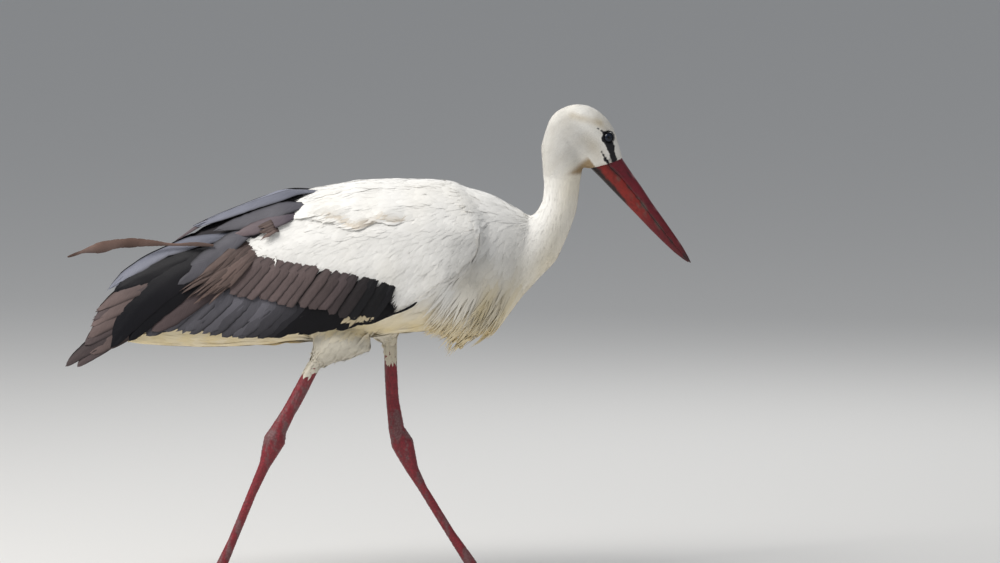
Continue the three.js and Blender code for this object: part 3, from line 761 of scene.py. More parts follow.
# %% Guide feathers
GUIDES = {
    "head": [
        (336, 0, 600, -0.35, 0, 0.94, 3.2, 0.8, 0.5), (325, 0, 630, -0.5, 0, 0.86, 3.8, 0.9, 0.6),
        (300, 0, 655, -0.85, 0, 0.5, 4.6, 1.0, 0.8), (277, 0, 664, -1, 0, 0, 5.5, 1.0, 0.9),
        (250, 0, 652, -0.8, 0, -0.6, 7, 1.1, 1.1), (232, 0, 630, -0.3, 0, -0.95, 9, 1.2, 1.4),
        (226, 0, 600, 0.1, 0, -1, 11, 1.3, 1.8), (325, 12, 595, -0.6, 0.2, 0.77, 2.6, 0.7, 0.35),
        (318, 17, 588, -0.95, 0.2, 0.1, 2.6, 0.7, 0.35), (300, 20, 630, -0.9, 0, 0.3, 4, 0.9, 0.6),
        (280, 28, 612, -0.95, 0.1, -0.25, 5, 1.0, 0.8), (300, 22, 585, -0.95, 0.2, -0.1, 3.6, 0.8, 0.5),
        (268, 26, 588, -0.7, 0, -0.7, 7, 1.1, 1.1), (250, 27, 612, -0.7, 0, -0.7, 8, 1.1, 1.2),
        (292, 0, 562, -0.9, 0, -0.2, 4, 0.8, 0.5), (275, 8, 560, -0.55, 0, -0.8, 7, 1.0, 1.0),
    ],
    "neck": [
        (258, 22, 590, -0.1, 0, -1, 13, 1.3, 1.9), (236, 16, 560, -0.02, 0, -1, 15, 1.4, 2.4),
        (280, 0, 555, -0.12, 0, -0.98, 13, 1.3, 1.8), (252, 22, 540, -0.02, 0, -1, 16, 1.5, 2.3),
        (247, 22, 515, -0.12, 0, -0.98, 19, 1.6, 2.6), (222, 18, 512, -0.4, 0, -0.9, 19, 1.7, 2.8),
        (266, 0, 505, -0.2, 0, -0.98, 20, 1.6, 2.4), (245, 26, 485, -0.2, 0.05, -0.97, 24, 1.8, 2.8),
        (205, 20, 510, -0.85, 0, -0.4, 22, 2.0, 3.0), (238, 10, 465, -0.3, 0, -0.95, 30, 2.0, 3.0),
    ],
    "body": [
        (195, 0, 518, -0.86, 0, 0.5, 22, 3.0, 3.0), (150, 0, 545, -0.93, 0, 0.35, 24, 4.5, 3.0),
        (80, 0, 556, -1, 0, 0, 26, 6, 3.2), (-80, 0, 545, -0.98, 0, -0.15, 28, 6.5, 3.4),
        (215, 25, 470, -0.25, 0.1, -0.95, 38, 3.4, 3.4), (195, 45, 480, -0.5, 0.1, -0.85, 32, 4.0, 3.2),
        (170, 60, 440, -0.5, 0, -0.85, 42, 4.6, 3.4), (150, 65, 400, -0.5, 0, -0.87, 44, 4.8, 3.6),
        (215, 0, 440, -0.3, 0, -0.95, 40, 3.6, 3.6), (190, 0, 395, -0.4, 0, -0.9, 38, 4.0, 4.0),
        (165, 20, 365, -0.42, 0, -0.9, 26, 3.6, 4.2), (120, 40, 350, -0.6, 0, -0.8, 28, 3.8, 4.0),
        (60, 0, 338, -1, 0, -0.05, 32, 4.0, 3.6), (60, 70, 375, -0.8, 0, -0.6, 34, 4.0, 3.4),
        (-60, 60, 360, -0.9, 0, -0.4, 32, 4.2, 3.4), (-100, 20, 333, -1, 0, 0, 34, 4.2, 3.6),
        (-200, 30, 335, -1, 0, 0.02, 38, 4.4, 3.6), (-300, 10, 330, -1, 0, 0.12, 44, 4.6, 3.2),
        (-357, 5, 340, -1, 0, 0.15, 40, 4.4, 2.6),
    ],
    "thighs": [
        (-45, -40, 350, -0.6, 0, -0.8, 24, 2.6, 3.0), (-70, -43, 325, -0.62, 0, -0.78, 18, 2.2, 2.6),
        (-85, -46, 303, -0.6, 0, -0.8, 9, 1.8, 1.6), (0, 40, 350, 0.1, 0, -1, 20, 2.6, 2.6),
        (12, 43, 332, 0.1, 0, -1, 12, 2.2, 2.0), (15, 46, 315, 0.05, 0, -1, 7, 1.8, 1.4),
    ],
    "wing": [
        (150, 60, 515, -0.8, 0, -0.6, 22, 4.2, 2.6), (140, 72, 480, -0.75, 0, -0.66, 24, 4.4, 2.6),
        (60, 60, 550, -0.98, 0, -0.2, 28, 6.2, 3.0), (0, 85, 505, -0.94, 0, -0.33, 30, 6.4, 3.0),
        (-100, 75, 500, -0.92, 0, -0.4, 32, 6.6, 3.2), (-180, 60, 485, -0.86, 0, -0.5, 34, 5.4, 3.4),
        (-110, 80, 465, -0.8, 0, -0.6, 34, 4.6, 3.6), (-20, 90, 450, -0.74, 0, -0.68, 34, 4.4, 3.6),
        (60, 88, 440, -0.66, 0, -0.75, 32, 4.4, 3.4), (40, 88, 405, -0.62, 0, -0.78, 30, 3.8, 3.2),
        (110, 75, 440, -0.66, 0, -0.75, 26, 4.4, 2.8), (60, 60, 365, -0.9, 0, -0.25, 20, 3.6, 2.2),
    ],
}


def comb(zone, points, normals):
    """Direction, length, half width and lift at each root, blended from a zone's guides."""
    guides = np.array(GUIDES[zone], float)
    guides[:, :3] *= MM
    guides[:, 6:] *= MM
    mirrored = zone != "thighs"
    place = points.copy()
    if mirrored:
        place[:, 1] = np.abs(place[:, 1])
    away = np.linalg.norm(place[:, None] - guides[None, :, :3], axis=2)
    weight = 1 / (away**3 + 1e-7)
    blended = (weight @ guides[:, 3:]) / weight.sum(1, keepdims=True)
    way = blended[:, :3]
    if mirrored:
        way[:, 1] *= np.sign(points[:, 1])
    way -= normals * (way * normals).sum(1, keepdims=True)
    return unit(way), blended[:, 3], blended[:, 4], blended[:, 5]


# %% Zones of the skin, and even strewing over them
ZONES = {
    "head": ["head"], "neck": ["neck_upper", "neck_lower"], "body": ["breast", "trunk", "tail_coverts"],
    "thighs": THIGHS, "wing": WHITE_WING, "dark": DARK_WING, "bare": LEGS + TOES,
}
zone_points, zone_faces, zone_of_face = [], [], []
for number, (zone, names) in enumerate(ZONES.items()):
    part_points, part_faces = node_arrays(*names)
    zone_faces.append(part_faces + sum(map(len, zone_points)))
    zone_points.append(part_points)
    zone_of_face += [number] * len(part_faces)
zone_tree = BVHTree.FromPolygons(np.concatenate(zone_points).tolist(), np.concatenate(zone_faces).tolist())
zone_of_face = np.array(zone_of_face)


def zone_at(points):
    return zone_of_face[[zone_tree.find_nearest(p)[2] for p in points.tolist()]]


skin.data.calc_loop_triangles()
corners = np.empty(len(skin.data.loop_triangles) * 3, np.int32)
skin.data.loop_triangles.foreach_get("vertices", corners)
corners = corners.reshape(-1, 3)
skin_points, skin_normals = get_points(skin.data), get_normals(skin.data)
skin_tree = BVHTree.FromPolygons(skin_points.tolist(), corners.tolist())
tri_points = skin_points[corners]
first_edge, second_edge = (tri_points[:, k] - tri_points[:, 0] for k in (1, 2))
tri_area = np.linalg.norm(np.cross(first_edge, second_edge), axis=1) / 2
tri_zone = zone_at(tri_points.mean(1))
ZONE_NUMBER = {zone: number for number, zone in enumerate(ZONES)}


TRIES = 3.5  # roots tried for each square of the spacing


def strew(zone, spacing, seed):
    """Roots strewn at random over a zone, no closer than the spacing, and the directions outwards."""
    draw = np.random.default_rng(seed)
    pool = np.flatnonzero(tri_zone == ZONE_NUMBER[zone])
    share = tri_area[pool] / tri_area[pool].sum()
    tries = int(tri_area[pool].sum() / spacing**2 * TRIES)
    chosen = draw.choice(pool, tries, p=share)
    r1, r2 = np.sqrt(draw.random(tries)), draw.random(tries)
    weights = np.stack((1 - r1, r1 * (1 - r2), r1 * r2), 1)[..., None]
    spots = (skin_points[corners[chosen]] * weights).sum(1)
    facing = unit((skin_normals[corners[chosen]] * weights).sum(1))
    cells = np.floor(spots / spacing).astype(int).tolist()
    around = list(itertools.product((-1, 0, 1), repeat=3))
    taken, keep = {}, []
    for index, ((i, j, k), here) in enumerate(zip(cells, spots.tolist())):
        near = [q for di, dj, dk in around for q in taken.get((i + di, j + dj, k + dk), ())]
        if all(math.dist(q, here) >= spacing for q in near):
            taken.setdefault((i, j, k), []).append(here)
            keep.append(index)
    return spots[keep], facing[keep]


def settle(points):
    """Nearest places on the skin, with the directions outwards there."""
    found = [skin_tree.find_nearest(p) for p in points.tolist()]
    place = np.array([f[0] for f in found])
    face = np.array([f[2] for f in found])
    return place, unit(skin_normals[corners[face]].mean(1))


UNWRAPS = {  # a cylinder for each zone: its axis from one end to the other, and the direction of the seam
    "head": ((335, 0, 570), (228, 0, 640), (0, 0, -1)),
    "neck": ((262, 0, 640), (225, 0, 430), (-1, 0, 0)),
    "body": ((240, 0, 440), (-390, 0, 400), (0, 0, 1)),
    "thighs": ((-20, 0, 380), (-40, 0, 270), (1, 0, 0)),
    "wing": ((190, 0, 440), (-300, 0, 420), (0, 0, -1)),
}
PATCH = 0.0015  # half the width of a feather's own patch on the bake map


def unwrap(zone, points):
    """Place of each root on the zone's own unrolled cylinder, between 0 and 1."""
    start, end, seam = (np.array(v, float) for v in UNWRAPS[zone])
    start, end = start * MM, end * MM
    axis = unit(end - start)
    seam = unit(seam - axis * (seam @ axis))
    other = np.cross(axis, seam)
    offset = points - start
    angle = np.arctan2(offset @ other, -(offset @ seam))
    run = offset @ axis
    run = (run - run.min()) / (run.max() - run.min())
    return 0.01 + 0.98 * np.stack((angle / (2 * math.pi) + 0.5, run), 1)


# %% Laying small feathers
ROOT_DEPTH = 0.6 * MM
VANE_GAP = 0.08 * MM  # the top of a vane stands this far over its flat underside


def bent_vane(base, bend, tip, t):
    """Places and directions along a path from base to tip, pulled towards bend."""
    p0, p1, p2 = (a[:, None, None, :] for a in (base, bend, tip))
    place = p0 * (1 - t) ** 2 + p1 * 2 * t * (1 - t) + p2 * t**2
    return place, unit((p1 - p0) * (1 - t) + (p2 - p1) * t)


def drape(roots, way, length, lift, cling, overhang):
    """Middles and tips, settled on the skin and lifted off it again, and the tips' directions outwards."""
    middle, middle_out = settle(roots + way * (0.5 * length)[:, None])
    free_tip = middle + unit(middle - roots) * (0.5 * length)[:, None]
    tip, tip_out = settle(free_tip)
    over = ((free_tip - tip) * tip_out).sum(1)
    hold = cling * (1 - overhang * step(1.8 * MM, 4.2 * MM, over))[:, None]
    tip = free_tip * (1 - hold) + tip * hold
    return middle + middle_out * (0.62 * lift)[:, None], tip + tip_out * lift[:, None], tip_out


def coat_tint(roots, tip, grid, u, draw):
    """Each feather is painted partly as the skin far down its length and partly as the skin under it."""
    count, rows, cols, _ = grid.shape
    tone = 1 + 0.02 * draw.normal(size=(count, 1, 1, 1))
    own = np.repeat(roots * 0.4 + tip * 0.6, rows * cols, 0)
    tint = markings_and_painted_light(own * 0.6 + grid.reshape(-1, 3) * 0.4).reshape(grid.shape)
    return np.clip(tint * tone * (0.93 + 0.07 * u[..., None]), 0, 0.95)


def lay(name, zone, spacing, rows, cols, seed, keep=None, jag=0.12, shape=(0.55, 0.3, 0.45, 0.5), cling=1.0,
        swing=9, longer=1.0, wider=1.0, raise_by=1.0, overhang=0.0):
    """Covers a zone with feathers. cling holds tips on the skin; overhang lets go where it falls away."""
    roots, facing = strew(zone, spacing, seed)
    way, length, half, lift = comb(zone, roots, facing)
    draw = np.random.default_rng(seed + 1)
    turn = np.radians(draw.normal(0, swing, len(roots)))[:, None]
    way = unit(way * np.cos(turn) + np.cross(facing, way) * np.sin(turn))
    length = length * draw.uniform(0.82, 1.15, len(roots)) * longer
    half = half * draw.uniform(0.85, 1.15, len(roots)) * wider
    lift = lift * draw.uniform(0.7, 1.25, len(roots)) * raise_by
    if keep is not None:
        chosen = keep(roots, roots + way * length[:, None])
        roots, facing, way, length, half, lift = (a[chosen] for a in (roots, facing, way, length, half, lift))
    middle, tip, tip_out = drape(roots, way, length, lift, cling, overhang)
    base = roots - facing * ROOT_DEPTH
    # Rows run along the vane and columns across it; the columns end unevenly.
    count = len(roots)
    u = np.linspace(0, 1, rows)[None, :, None]
    v = np.linspace(-1, 1, cols)[None, None, :]
    t = (u * (1 + jag * draw.uniform(-1, 1, (count, 1, cols)) * step(0.35, 1, u)))[..., None]
    centre, course = bent_vane(base, 2 * middle - (base + tip) / 2, tip, t)
    out = unit(facing[:, None, None] * (1 - t) + tip_out[:, None, None] * t)
    side = unit(np.cross(out, course))
    out = np.cross(course, side)
    wide = half[:, None, None] * profile(u, *shape)
    across = wide * v * (1 + 0.1 * draw.uniform(-1, 1, (count, rows, 1)))
    arch = wide * 0.05 * (1 - v**2) + VANE_GAP
    grid = centre + side * across[..., None] + out * arch[..., None]
    tint = coat_tint(roots, tip, grid, u, draw)
    patch = np.stack(np.broadcast_arrays(v * PATCH, (u * 2 - 1) * PATCH), -1)
    along = np.broadcast_to(t[..., 0] * length[:, None, None], across.shape)
    made = feather_piece(name, grid, tint, across, along, unwrap(zone, roots)[:, None, None, :] + patch)
    finish_piece(made, WHITE_VANE, "plumage_white")


# %% Small feathers, zone by zone
# Each of the tests below is given all feathers' roots and tips and says which feathers stay.
def over_white(roots, tips):
    """Keeps feathers that lie wholly on the white part of the wing."""
    return in_white(roots) & in_white(tips)


def under_wing(roots, tips):
    """Keeps body feathers that don't come out over the dark wing."""
    hidden = (tips[:, 2] > 0.39) & (tips[:, 0] < 0) & (tips[:, 1] < 0.2) & ~in_white(tips)
    return in_white(tips) | ((distance_to(dark_tree, tips) > 0.004) & ~hidden)


def off_breast(roots, tips):
    """Keeps wisps off the breast, where the feathers are long and broad."""
    return under_wing(roots, tips) & ((roots[:, 0] < 0.09) | (roots[:, 2] > 0.50))


def hanging(roots, tips):
    """Keeps the plumes that hang from the lower breast and end in a loose fringe."""
    low = (roots[:, 2] > 0.342) & (roots[:, 2] < 0.44) & (roots[:, 0] > 0.085) & (np.abs(roots[:, 1]) > 0.010)
    return low & (tips[:, 2] > 0.322) & (tips[:, 2] < 0.39) & (tips[:, 0] > 0.068)


def low_on_thigh(roots, tips):
    """Keeps the loose feathers that close over the bare shin."""
    return roots[:, 2] < 0.335


def clear_of_face(roots, tips):
    """Keeps the eye, the bare lores and the bill free."""
    along, up = head_frame(roots)
    eye = np.hypot(along - EYE_ALONG, up - EYE_UP)
    return ((eye > 7.0 * MM) & (face_ink(roots) < 0.4)) | (np.abs(roots[:, 1]) < 0.009)


def border_distance(points):
    """How far points lie inside the white side of the wing's border, negative outside, seen from the side."""
    flat = points[:, [0, 2]]
    near = np.full(len(points), 1.0)
    line = np.array(WHITE_LINE) * MM
    for start, end in zip(line, line[1:]):
        way = end - start
        t = np.clip((flat - start) @ way / (way @ way), 0, 1)[:, None]
        near = np.minimum(near, np.linalg.norm(flat - start - t * way, axis=1))
    return np.where(in_white(points), near, -near)


def on_fringe(roots, tips):
    """Keeps feathers that end at the white border, some a little short and some a little over."""
    return in_white(roots) & (np.abs(border_distance(tips) + 0.001) < 0.0045)


FINE = (0.7, 0.3, 0.35, 0.75)  # narrow, pointed
SOFT = (0.5, 0.35, 0.5, 0.35)  # broader, rounded and frayed
PLUME = (0.6, 0.3, 0.3, 0.8)  # long, tapered over most of its length
THIN = dict(rows=5, cols=3, shape=FINE, jag=0.25)
lay("head_feathers", "head", 1.5 * MM, 3, 3, 21, keep=clear_of_face, shape=FINE, swing=11, longer=1.4,
    wider=1.35, raise_by=0.12)
lay("neck_feathers", "neck", 1.9 * MM, seed=31, swing=7, longer=1.25, wider=1.35, raise_by=0.16, **THIN)
lay("body_feathers", "body", 5.0 * MM, 6, 7, 41, keep=under_wing, shape=SOFT, swing=6, raise_by=0.13,
    wider=1.2)
lay("body_wisps", "body", 5.0 * MM, seed=43, keep=off_breast, swing=8, wider=0.6, longer=0.9, raise_by=0.16,
    **THIN)
lay("breast_plumes", "body", 3.4 * MM, 7, 5, 45, keep=hanging, shape=PLUME, jag=0.3, cling=0.25, swing=7,
    longer=1.6, wider=1.05, raise_by=0.22)
lay("thigh_feathers", "thighs", 4.0 * MM, 6, 5, 51, shape=SOFT, swing=8, jag=0.2, wider=1.7, raise_by=0.15)
lay("thigh_fringe", "thighs", 3.0 * MM, 6, 5, 53, keep=low_on_thigh, shape=PLUME, swing=12, cling=0.3,
    wider=1.1, longer=1.2, raise_by=0.2)
lay("wing_coverts_white", "wing", 5.0 * MM, 6, 7, 61, keep=over_white, shape=SOFT, swing=5, raise_by=0.15,
    overhang=0.5)
lay("wing_wisps", "wing", 6.0 * MM, seed=63, keep=over_white, swing=7, wider=0.4, longer=0.8, raise_by=0.25,
    **THIN)
lay("wing_fringe", "wing", 1.8 * MM, seed=65, keep=on_fringe, swing=8, wider=0.5, longer=0.8, raise_by=0.35,
    **THIN)

# %% [markdown]
# ## Flight feathers
# The closed wing is a smooth cape, wide at the shoulder and narrow at the tips. Its cross-section is a
# rounded box, so any point of the cape can be worked out from how far along the bird and how high it is.
# Big feathers are laid on that cape in rows, like slates: each carries its front edge over its neighbour's
# rear edge. A row is given by the line its roots follow, a line half way and the line its tips follow.

# %% The cape's surface
CAPE = np.array([  # forward, top, bottom, widest level, half width
    (-440, 312, 262, 284, 9), (-408, 366, 272, 312, 20), (-385, 392, 280, 326, 28),
    (-357, 428, 285, 340, 35), (-325, 450, 290, 350, 41), (-290, 466, 295, 362, 48),
    (-245, 498, 300, 376, 56), (-195, 519, 305, 394, 65), (-140, 540, 310, 412, 75),
    (-85, 551, 315, 428, 84), (-30, 561, 320, 438, 91), (20, 563, 327, 443, 94),
    (70, 563, 333, 447, 92), (110, 559, 338, 448, 86), (140, 553, 348, 449, 78),
    (160, 547, 362, 452, 68),
]) * MM
SQUARENESS = 2.3


def cape_at(x):
    """Top, bottom, widest level and half width of the cape."""
    return [np.interp(x, CAPE[:, 0], CAPE[:, k]) for k in range(1, 5)]


def cape_point(x, angle):
    """Point of the cape at a distance forward and an angle up from the widest level."""
    top, bottom, level, half = cape_at(x)
    tall = np.where(angle > 0, top - level, level - bottom)
    flat, steep = np.abs(np.cos(angle) / half), np.abs(np.sin(angle) / tall)
    reach = (flat**SQUARENESS + steep**SQUARENESS) ** (-1 / SQUARENESS)
    return np.stack((x, -reach * np.cos(angle), level + reach * np.sin(angle)), -1)


def cape_angle(x, z):
    """Angle up from the widest level at which the right side of the cape has a given height."""
    top, bottom, level, half = cape_at(x)
    tall = np.where(z > level, top - level, level - bottom)
    rise = np.clip(np.abs(z - level) / tall, 0, 0.9995)
    out = half * (1 - rise**SQUARENESS) ** (1 / SQUARENESS)
    return np.arctan2(z - level, out)


def cape_normal(x, angle):
    """Direction out of the cape."""
    nudge = 0.002
    ahead = cape_point(x + nudge, angle) - cape_point(x - nudge, angle)
    over = cape_point(x, angle + nudge) - cape_point(x, angle - nudge)
    return unit(np.cross(ahead, over))


def along_line(line, share):
    """Points at the given shares of a polyline's length."""
    line = np.array(line, float) * MM
    run = np.concatenate(([0], np.cumsum(np.linalg.norm(np.diff(line, axis=0), axis=1))))
    return np.stack([np.interp(share * run[-1], run, line[:, k]) for k in (0, 1)], -1)


# %% Laying one row of big feathers
WING_STYLES = {  # root colour, tip colour, edge colour; dark edges are painted shadow between overlapping vanes, the cream patch's brown edge is its own
    # The slate vanes are partly their own slate colour and partly paler from a painted bluish sheen.
    "slate": ((0.120, 0.116, 0.134), (0.078, 0.075, 0.086), (0.008, 0.008, 0.010)),
    "black": ((0.004, 0.0035, 0.005), (0.004, 0.004, 0.006), (0.004, 0.0035, 0.005)),
    "brown": ((0.105, 0.076, 0.074), (0.120, 0.088, 0.086), (0.016, 0.011, 0.011)),
    "dusk": ((0.050, 0.038, 0.040), (0.085, 0.062, 0.062), (0.020, 0.014, 0.015)),
    # The grey vanes are partly their own grey and partly a painted bluish sheen, brightest towards the tip.
    "grey": ((0.150, 0.155, 0.192), (0.240, 0.248, 0.300), (0.050, 0.048, 0.058)),
    "plum": ((0.080, 0.070, 0.088), (0.140, 0.105, 0.110), (0.018, 0.013, 0.016)),
    "rust": ((0.092, 0.064, 0.058), (0.118, 0.080, 0.068), (0.016, 0.010, 0.009)),
    "primary": ((0.050, 0.037, 0.036), (0.130, 0.092, 0.086), (0.026, 0.017, 0.016)),
    "cream_edge": ((0.50, 0.42, 0.28), (0.56, 0.48, 0.32), (0.15, 0.09, 0.06)),
}
WING_TIP = (-0.425, -0.445)  # from here back the vanes stand free of the cape
SHAFT = 0.12  # half width of the shaft's ridge, as a share of the vane's
QUILL_DEPTH = 5.5  # how far a quill goes under the row before, in millimetres
TIP_JITTER = 1.6 * MM


def row_colours(styles, share):
    """Root, tip and edge colours of each feather, blended along the row's styles."""
    spots = np.linspace(0, 1, len(styles))
    looks = np.array([WING_STYLES[s] for s in styles])
    blend = [[np.interp(share, spots, looks[:, part, c]) for c in range(3)] for part in range(3)]
    return np.array(blend).transpose(0, 2, 1)[:, :, None, None]


def row_tint(styles, share, u, v, draw):
    """Colour runs from root to tip, and each vane has a darker rim, which is painted shadow of the gap to the
    next feather; on the cream patch it is the feather's own brown edge.
    """
    at_root, at_tip, at_edge = row_colours(styles, share)
    uneven = 0.02 if styles[0] == "cream_edge" else 0.16
    tone = 1 + uneven * draw.normal(size=(len(share), 1, 1, 1))
    # The rim is painted shadow where the next vane overlaps.
    rim = (step(0.66, 0.97, np.abs(v)) * 0.85 * step(1.0, 0.9, u))[..., None]
    tint = at_root * (1 - u[..., None]) + at_tip * u[..., None]
    return np.clip((tint * (1 - rim) + at_edge * rim) * np.clip(tone, 0.55, 1.6), 0, 1)


def cape_path(root, bend, end, t):
    """Points of the cape along the shaft of each feather."""
    weights = ((root, (1 - t) ** 2), (bend, 2 * t * (1 - t)), (end, t**2))
    x, z = np.moveaxis(sum(a[:, None, None, :] * w[..., None] for a, w in weights), -1, 0)
    return cape_point(x, cape_angle(x, z))


def wing_row(roots, middles, tips, count, half, base, styles, seed, tilt=0.9, fray=0.1, point=0.15, taper=0.7,
             rows=18, cols=7, wave=0.4, arch=0.6):
    """Arrays of one row of feathers on the right wing.

    roots, middles and tips are lines seen from the side, and half is the half width of the first and the last
    feather. base is the height over the cape; tilt, wave and arch turn and bend the vanes. All are in
    millimetres."""
    draw = np.random.default_rng(seed)
    share = np.linspace(0, 1, count) if count > 1 else np.array([0.0])
    shift = draw.uniform(-0.3, 0.3, count) / count
    root, middle, end = (along_line(line, share + shift) for line in (roots, middles, tips))
    end = end + draw.normal(0, TIP_JITTER, end.shape)
    shaft_line = (root, 2 * middle - (root + end) / 2, end)
    u = np.linspace(0, 1, rows)[None, :, None]
    v = np.linspace(-1, 1, cols)[None, None, :]
    reach = 1 + fray * draw.uniform(-1, 0.35, (count, 1, cols)) * step(0.55, 1, u)
    t = np.broadcast_to(u * reach, (count, rows, cols))
    # The vane spreads sideways from its shaft and is then dropped back on the cape.
    spine = cape_path(*shaft_line, t)
    course = unit(cape_path(*shaft_line, t + 0.01) - cape_path(*shaft_line, t - 0.01))
    out = cape_normal(spine[..., 0], cape_angle(spine[..., 0], spine[..., 2]))
    side = unit(np.cross(out, course))
    side *= np.where(side[..., :1] - 0.5 * side[..., 2:] > 0, 1, -1)
    width = np.interp(share, np.linspace(0, 1, len(half)), half) * MM
    width = width * draw.uniform(0.88, 1.1, count)
    notch = 1 - 0.10 * draw.random((count, rows, 1)) ** 3
    wide = width[:, None, None] * profile(u, 0.5, 0.35, taper, point) * notch
    spread = spine + side * (wide * v)[..., None]
    x = spread[..., 0]
    angle = np.arctan2(spread[..., 2] - cape_at(x)[2], np.maximum(-spread[..., 1], 1e-5))
    beyond = step(*WING_TIP, x)[..., None]
    ruffle = wave * np.sin(u * 9 + draw.uniform(0, 6, (count, 1, 1))) * u
    ruffle = ruffle + 0.25 * wave * np.sin(v * 5 + u * 23)
    shaft = (0.5 if cols > 7 else 0.15) * np.exp(-((v / SHAFT) ** 2)) * (1 - 0.6 * u)
    lift = base + tilt * v * (0.4 + 0.6 * u) + arch * (1 - v**2) + shaft + ruffle
    lift = lift - (base + QUILL_DEPTH) * (1 - step(0, 0.3, u))
    grid = cape_point(x, angle) * (1 - beyond) + spread * beyond
    grid = grid + cape_normal(x, angle) * (lift * MM)[..., None]
    tint = row_tint(styles, share, u, v, draw)
    length = np.linalg.norm(end - root, axis=1)[:, None, None]
    return grid, tint, wide * v, t * length


def wing_piece(name, layers, material, slot, *replaced):
    """Right and left pieces from rows of big feathers. Each feather gets its own cell on the bake map."""
    for side, sign in SIDES.items():
        grid, tint, across, along = (np.concatenate([layer[k] for layer in layers]) for k in range(4))
        if sign > 0:
            grid = grid * np.array((1, -1, 1))
        count, rows, cols, _ = grid.shape
        cells = math.ceil(math.sqrt(count))
        cell = np.stack((np.arange(count) % cells, np.arange(count) // cells), 1)[:, None, None]
        within = np.stack(np.meshgrid(np.linspace(0.06, 0.94, cols), np.linspace(0.06, 0.94, rows)), -1)
        piece = feather_piece(f"{name}_{side}", grid, np.broadcast_to(tint, grid.shape), across, along,
                              (cell + within[None]) / cells, flip=sign > 0)
        finish_piece(piece, material, slot, *[node.replace("SIDE", side) for node in replaced])


# %% Rows of the folded wing
# Single big feathers: root, middle and tip (forward, up), half width, height over the cape, style and how
# far the front edge is raised.
PRIMARY_FEATHERS = [
    ((-262, 400), (-372, 336), (-419, 299), 9, 0.3, "dusk", 0.6),
    ((-258, 408), (-376, 344), (-432, 299), 10, 0.8, "dusk", 0.6),
    ((-236, 420), (-348, 356), (-404, 318), 15, 1.3, "primary", 0.7),
    ((-228, 432), (-340, 380), (-405, 330), 16, 1.8, "dusk", 0.8),
    ((-224, 439), (-334, 392), (-404, 341), 15, 2.0, "primary", 0.8),
    ((-220, 446), (-328, 404), (-401, 353), 15, 2.3, "primary", 0.8),
    ((-216, 451), (-320, 414), (-396, 364), 15, 2.5, "dusk", 0.8),
    ((-212, 456), (-312, 424), (-388, 376), 15, 2.8, "primary", 0.8),
]
TERTIAL_FEATHERS = [
    ((-180, 450), (-262, 392), (-314, 350), 17, 2.6, "dusk", 1.0),
    ((-182, 462), (-278, 408), (-344, 338), 19, 3.2, "black", 1.0),
    ((-186, 472), (-300, 414), (-372, 330), 20, 3.8, "black", 0.9),
    ((-200, 476), (-306, 436), (-366, 404), 13, 3.6, "black", -0.4),
]
SLATE_FEATHERS = [
    ((-196, 490), (-300, 456), (-375, 404), 11, 4.4, "grey", -0.5),
    ((-168, 500), (-224, 460), (-275, 417), 13, 4.8, "slate", 0.5),
    ((-120, 546), (-210, 518), (-279, 478), 15, 2.2, "plum", -0.5),
    ((-104, 522), (-150, 503), (-200, 483), 10, 2.6, "plum", -0.6),
    ((-92, 534), (-158, 513), (-224, 491), 11, 3.2, "slate", -0.6),
    ((-72, 552), (-160, 528), (-249, 492), 13, 4.2, "grey", -0.6),
    ((-90, 562), (-160, 538), (-236, 503), 13, 3.0, "grey", -0.6),
]
BIG_VANE = dict(cols=9, rows=26)  # fine grids for the largest vanes
ROW_VANE = dict(cols=9, rows=24)


def lone_feathers(table, seed, **shape):
    """Rows of one feather each, from a table of single big feathers."""
    return [wing_row([root], [middle], [tip], 1, (half,), base, (style,), seed + k, tilt=tilt, **shape)
            for k, (root, middle, tip, half, base, style, tilt) in enumerate(table)]


wing_piece("primaries",
           lone_feathers(PRIMARY_FEATHERS, 100, taper=0.6, point=0.35, fray=0.02, wave=0.6, **BIG_VANE),
           BROWN_VANE, "wing_black", "wing_SIDE_primaries")
wing_piece("tertials",
           lone_feathers(TERTIAL_FEATHERS, 110, taper=0.62, point=0.25, fray=0.04, wave=0.4, **BIG_VANE),
           BLACK_VANE, "wing_black")
wing_piece("slate_tertials",
           lone_feathers(SLATE_FEATHERS, 120, taper=0.66, point=0.25, fray=0.08, wave=0.5, **BIG_VANE),
           BLACK_VANE, "wing_slate")
wing_piece("secondaries", [
    wing_row(roots=[(-240, 425), (-221, 427), (-190, 424), (-145, 414), (-92, 404), (-40, 398), (4, 392),
                    (26, 392)],
             middles=[(-284, 381), (-256, 387), (-228, 386), (-182, 381), (-131, 376), (-78, 376), (-30, 378),
                      (8, 382)],
             tips=[(-322, 347), (-293, 353), (-265, 352), (-220, 346), (-165, 344), (-108, 353), (-62, 361),
                   (-24, 368)],
             count=24, half=(12, 11), base=0.4, styles=("slate",) * 3 + ("black",) * 3, seed=73, tilt=0.8,
             taper=0.76, fray=0.06, wave=0.3, **ROW_VANE),
    wing_row(roots=[(58, 401)], middles=[(40, 388)], tips=[(12, 377)], count=1, half=(2.0,), base=1.2,
             styles=("black",), seed=79, tilt=0.3, taper=0.5, fray=0, wave=0, **ROW_VANE),
], BLACK_VANE, "wing_slate")
wing_piece("greater_coverts", [
    wing_row(roots=[(-152, 468), (-105, 458), (-58, 450), (-34, 447), (-12, 442), (3, 438), (26, 428)],
             middles=[(-181, 435), (-136, 426), (-88, 418), (-61, 414), (-38, 408), (-22, 402), (4, 394)],
             tips=[(-208, 407), (-163, 399), (-114, 390), (-84, 386), (-62, 379), (-44, 374), (-13, 371)],
             count=15, half=(8.6, 8.2), base=3.0, styles=("brown",) * 4 + ("dusk", "black", "black"), seed=74,
             tilt=0.9, taper=0.9, point=0, fray=0.05, wave=0.15, arch=0.25, **ROW_VANE),
], BROWN_VANE, "wing_brown")
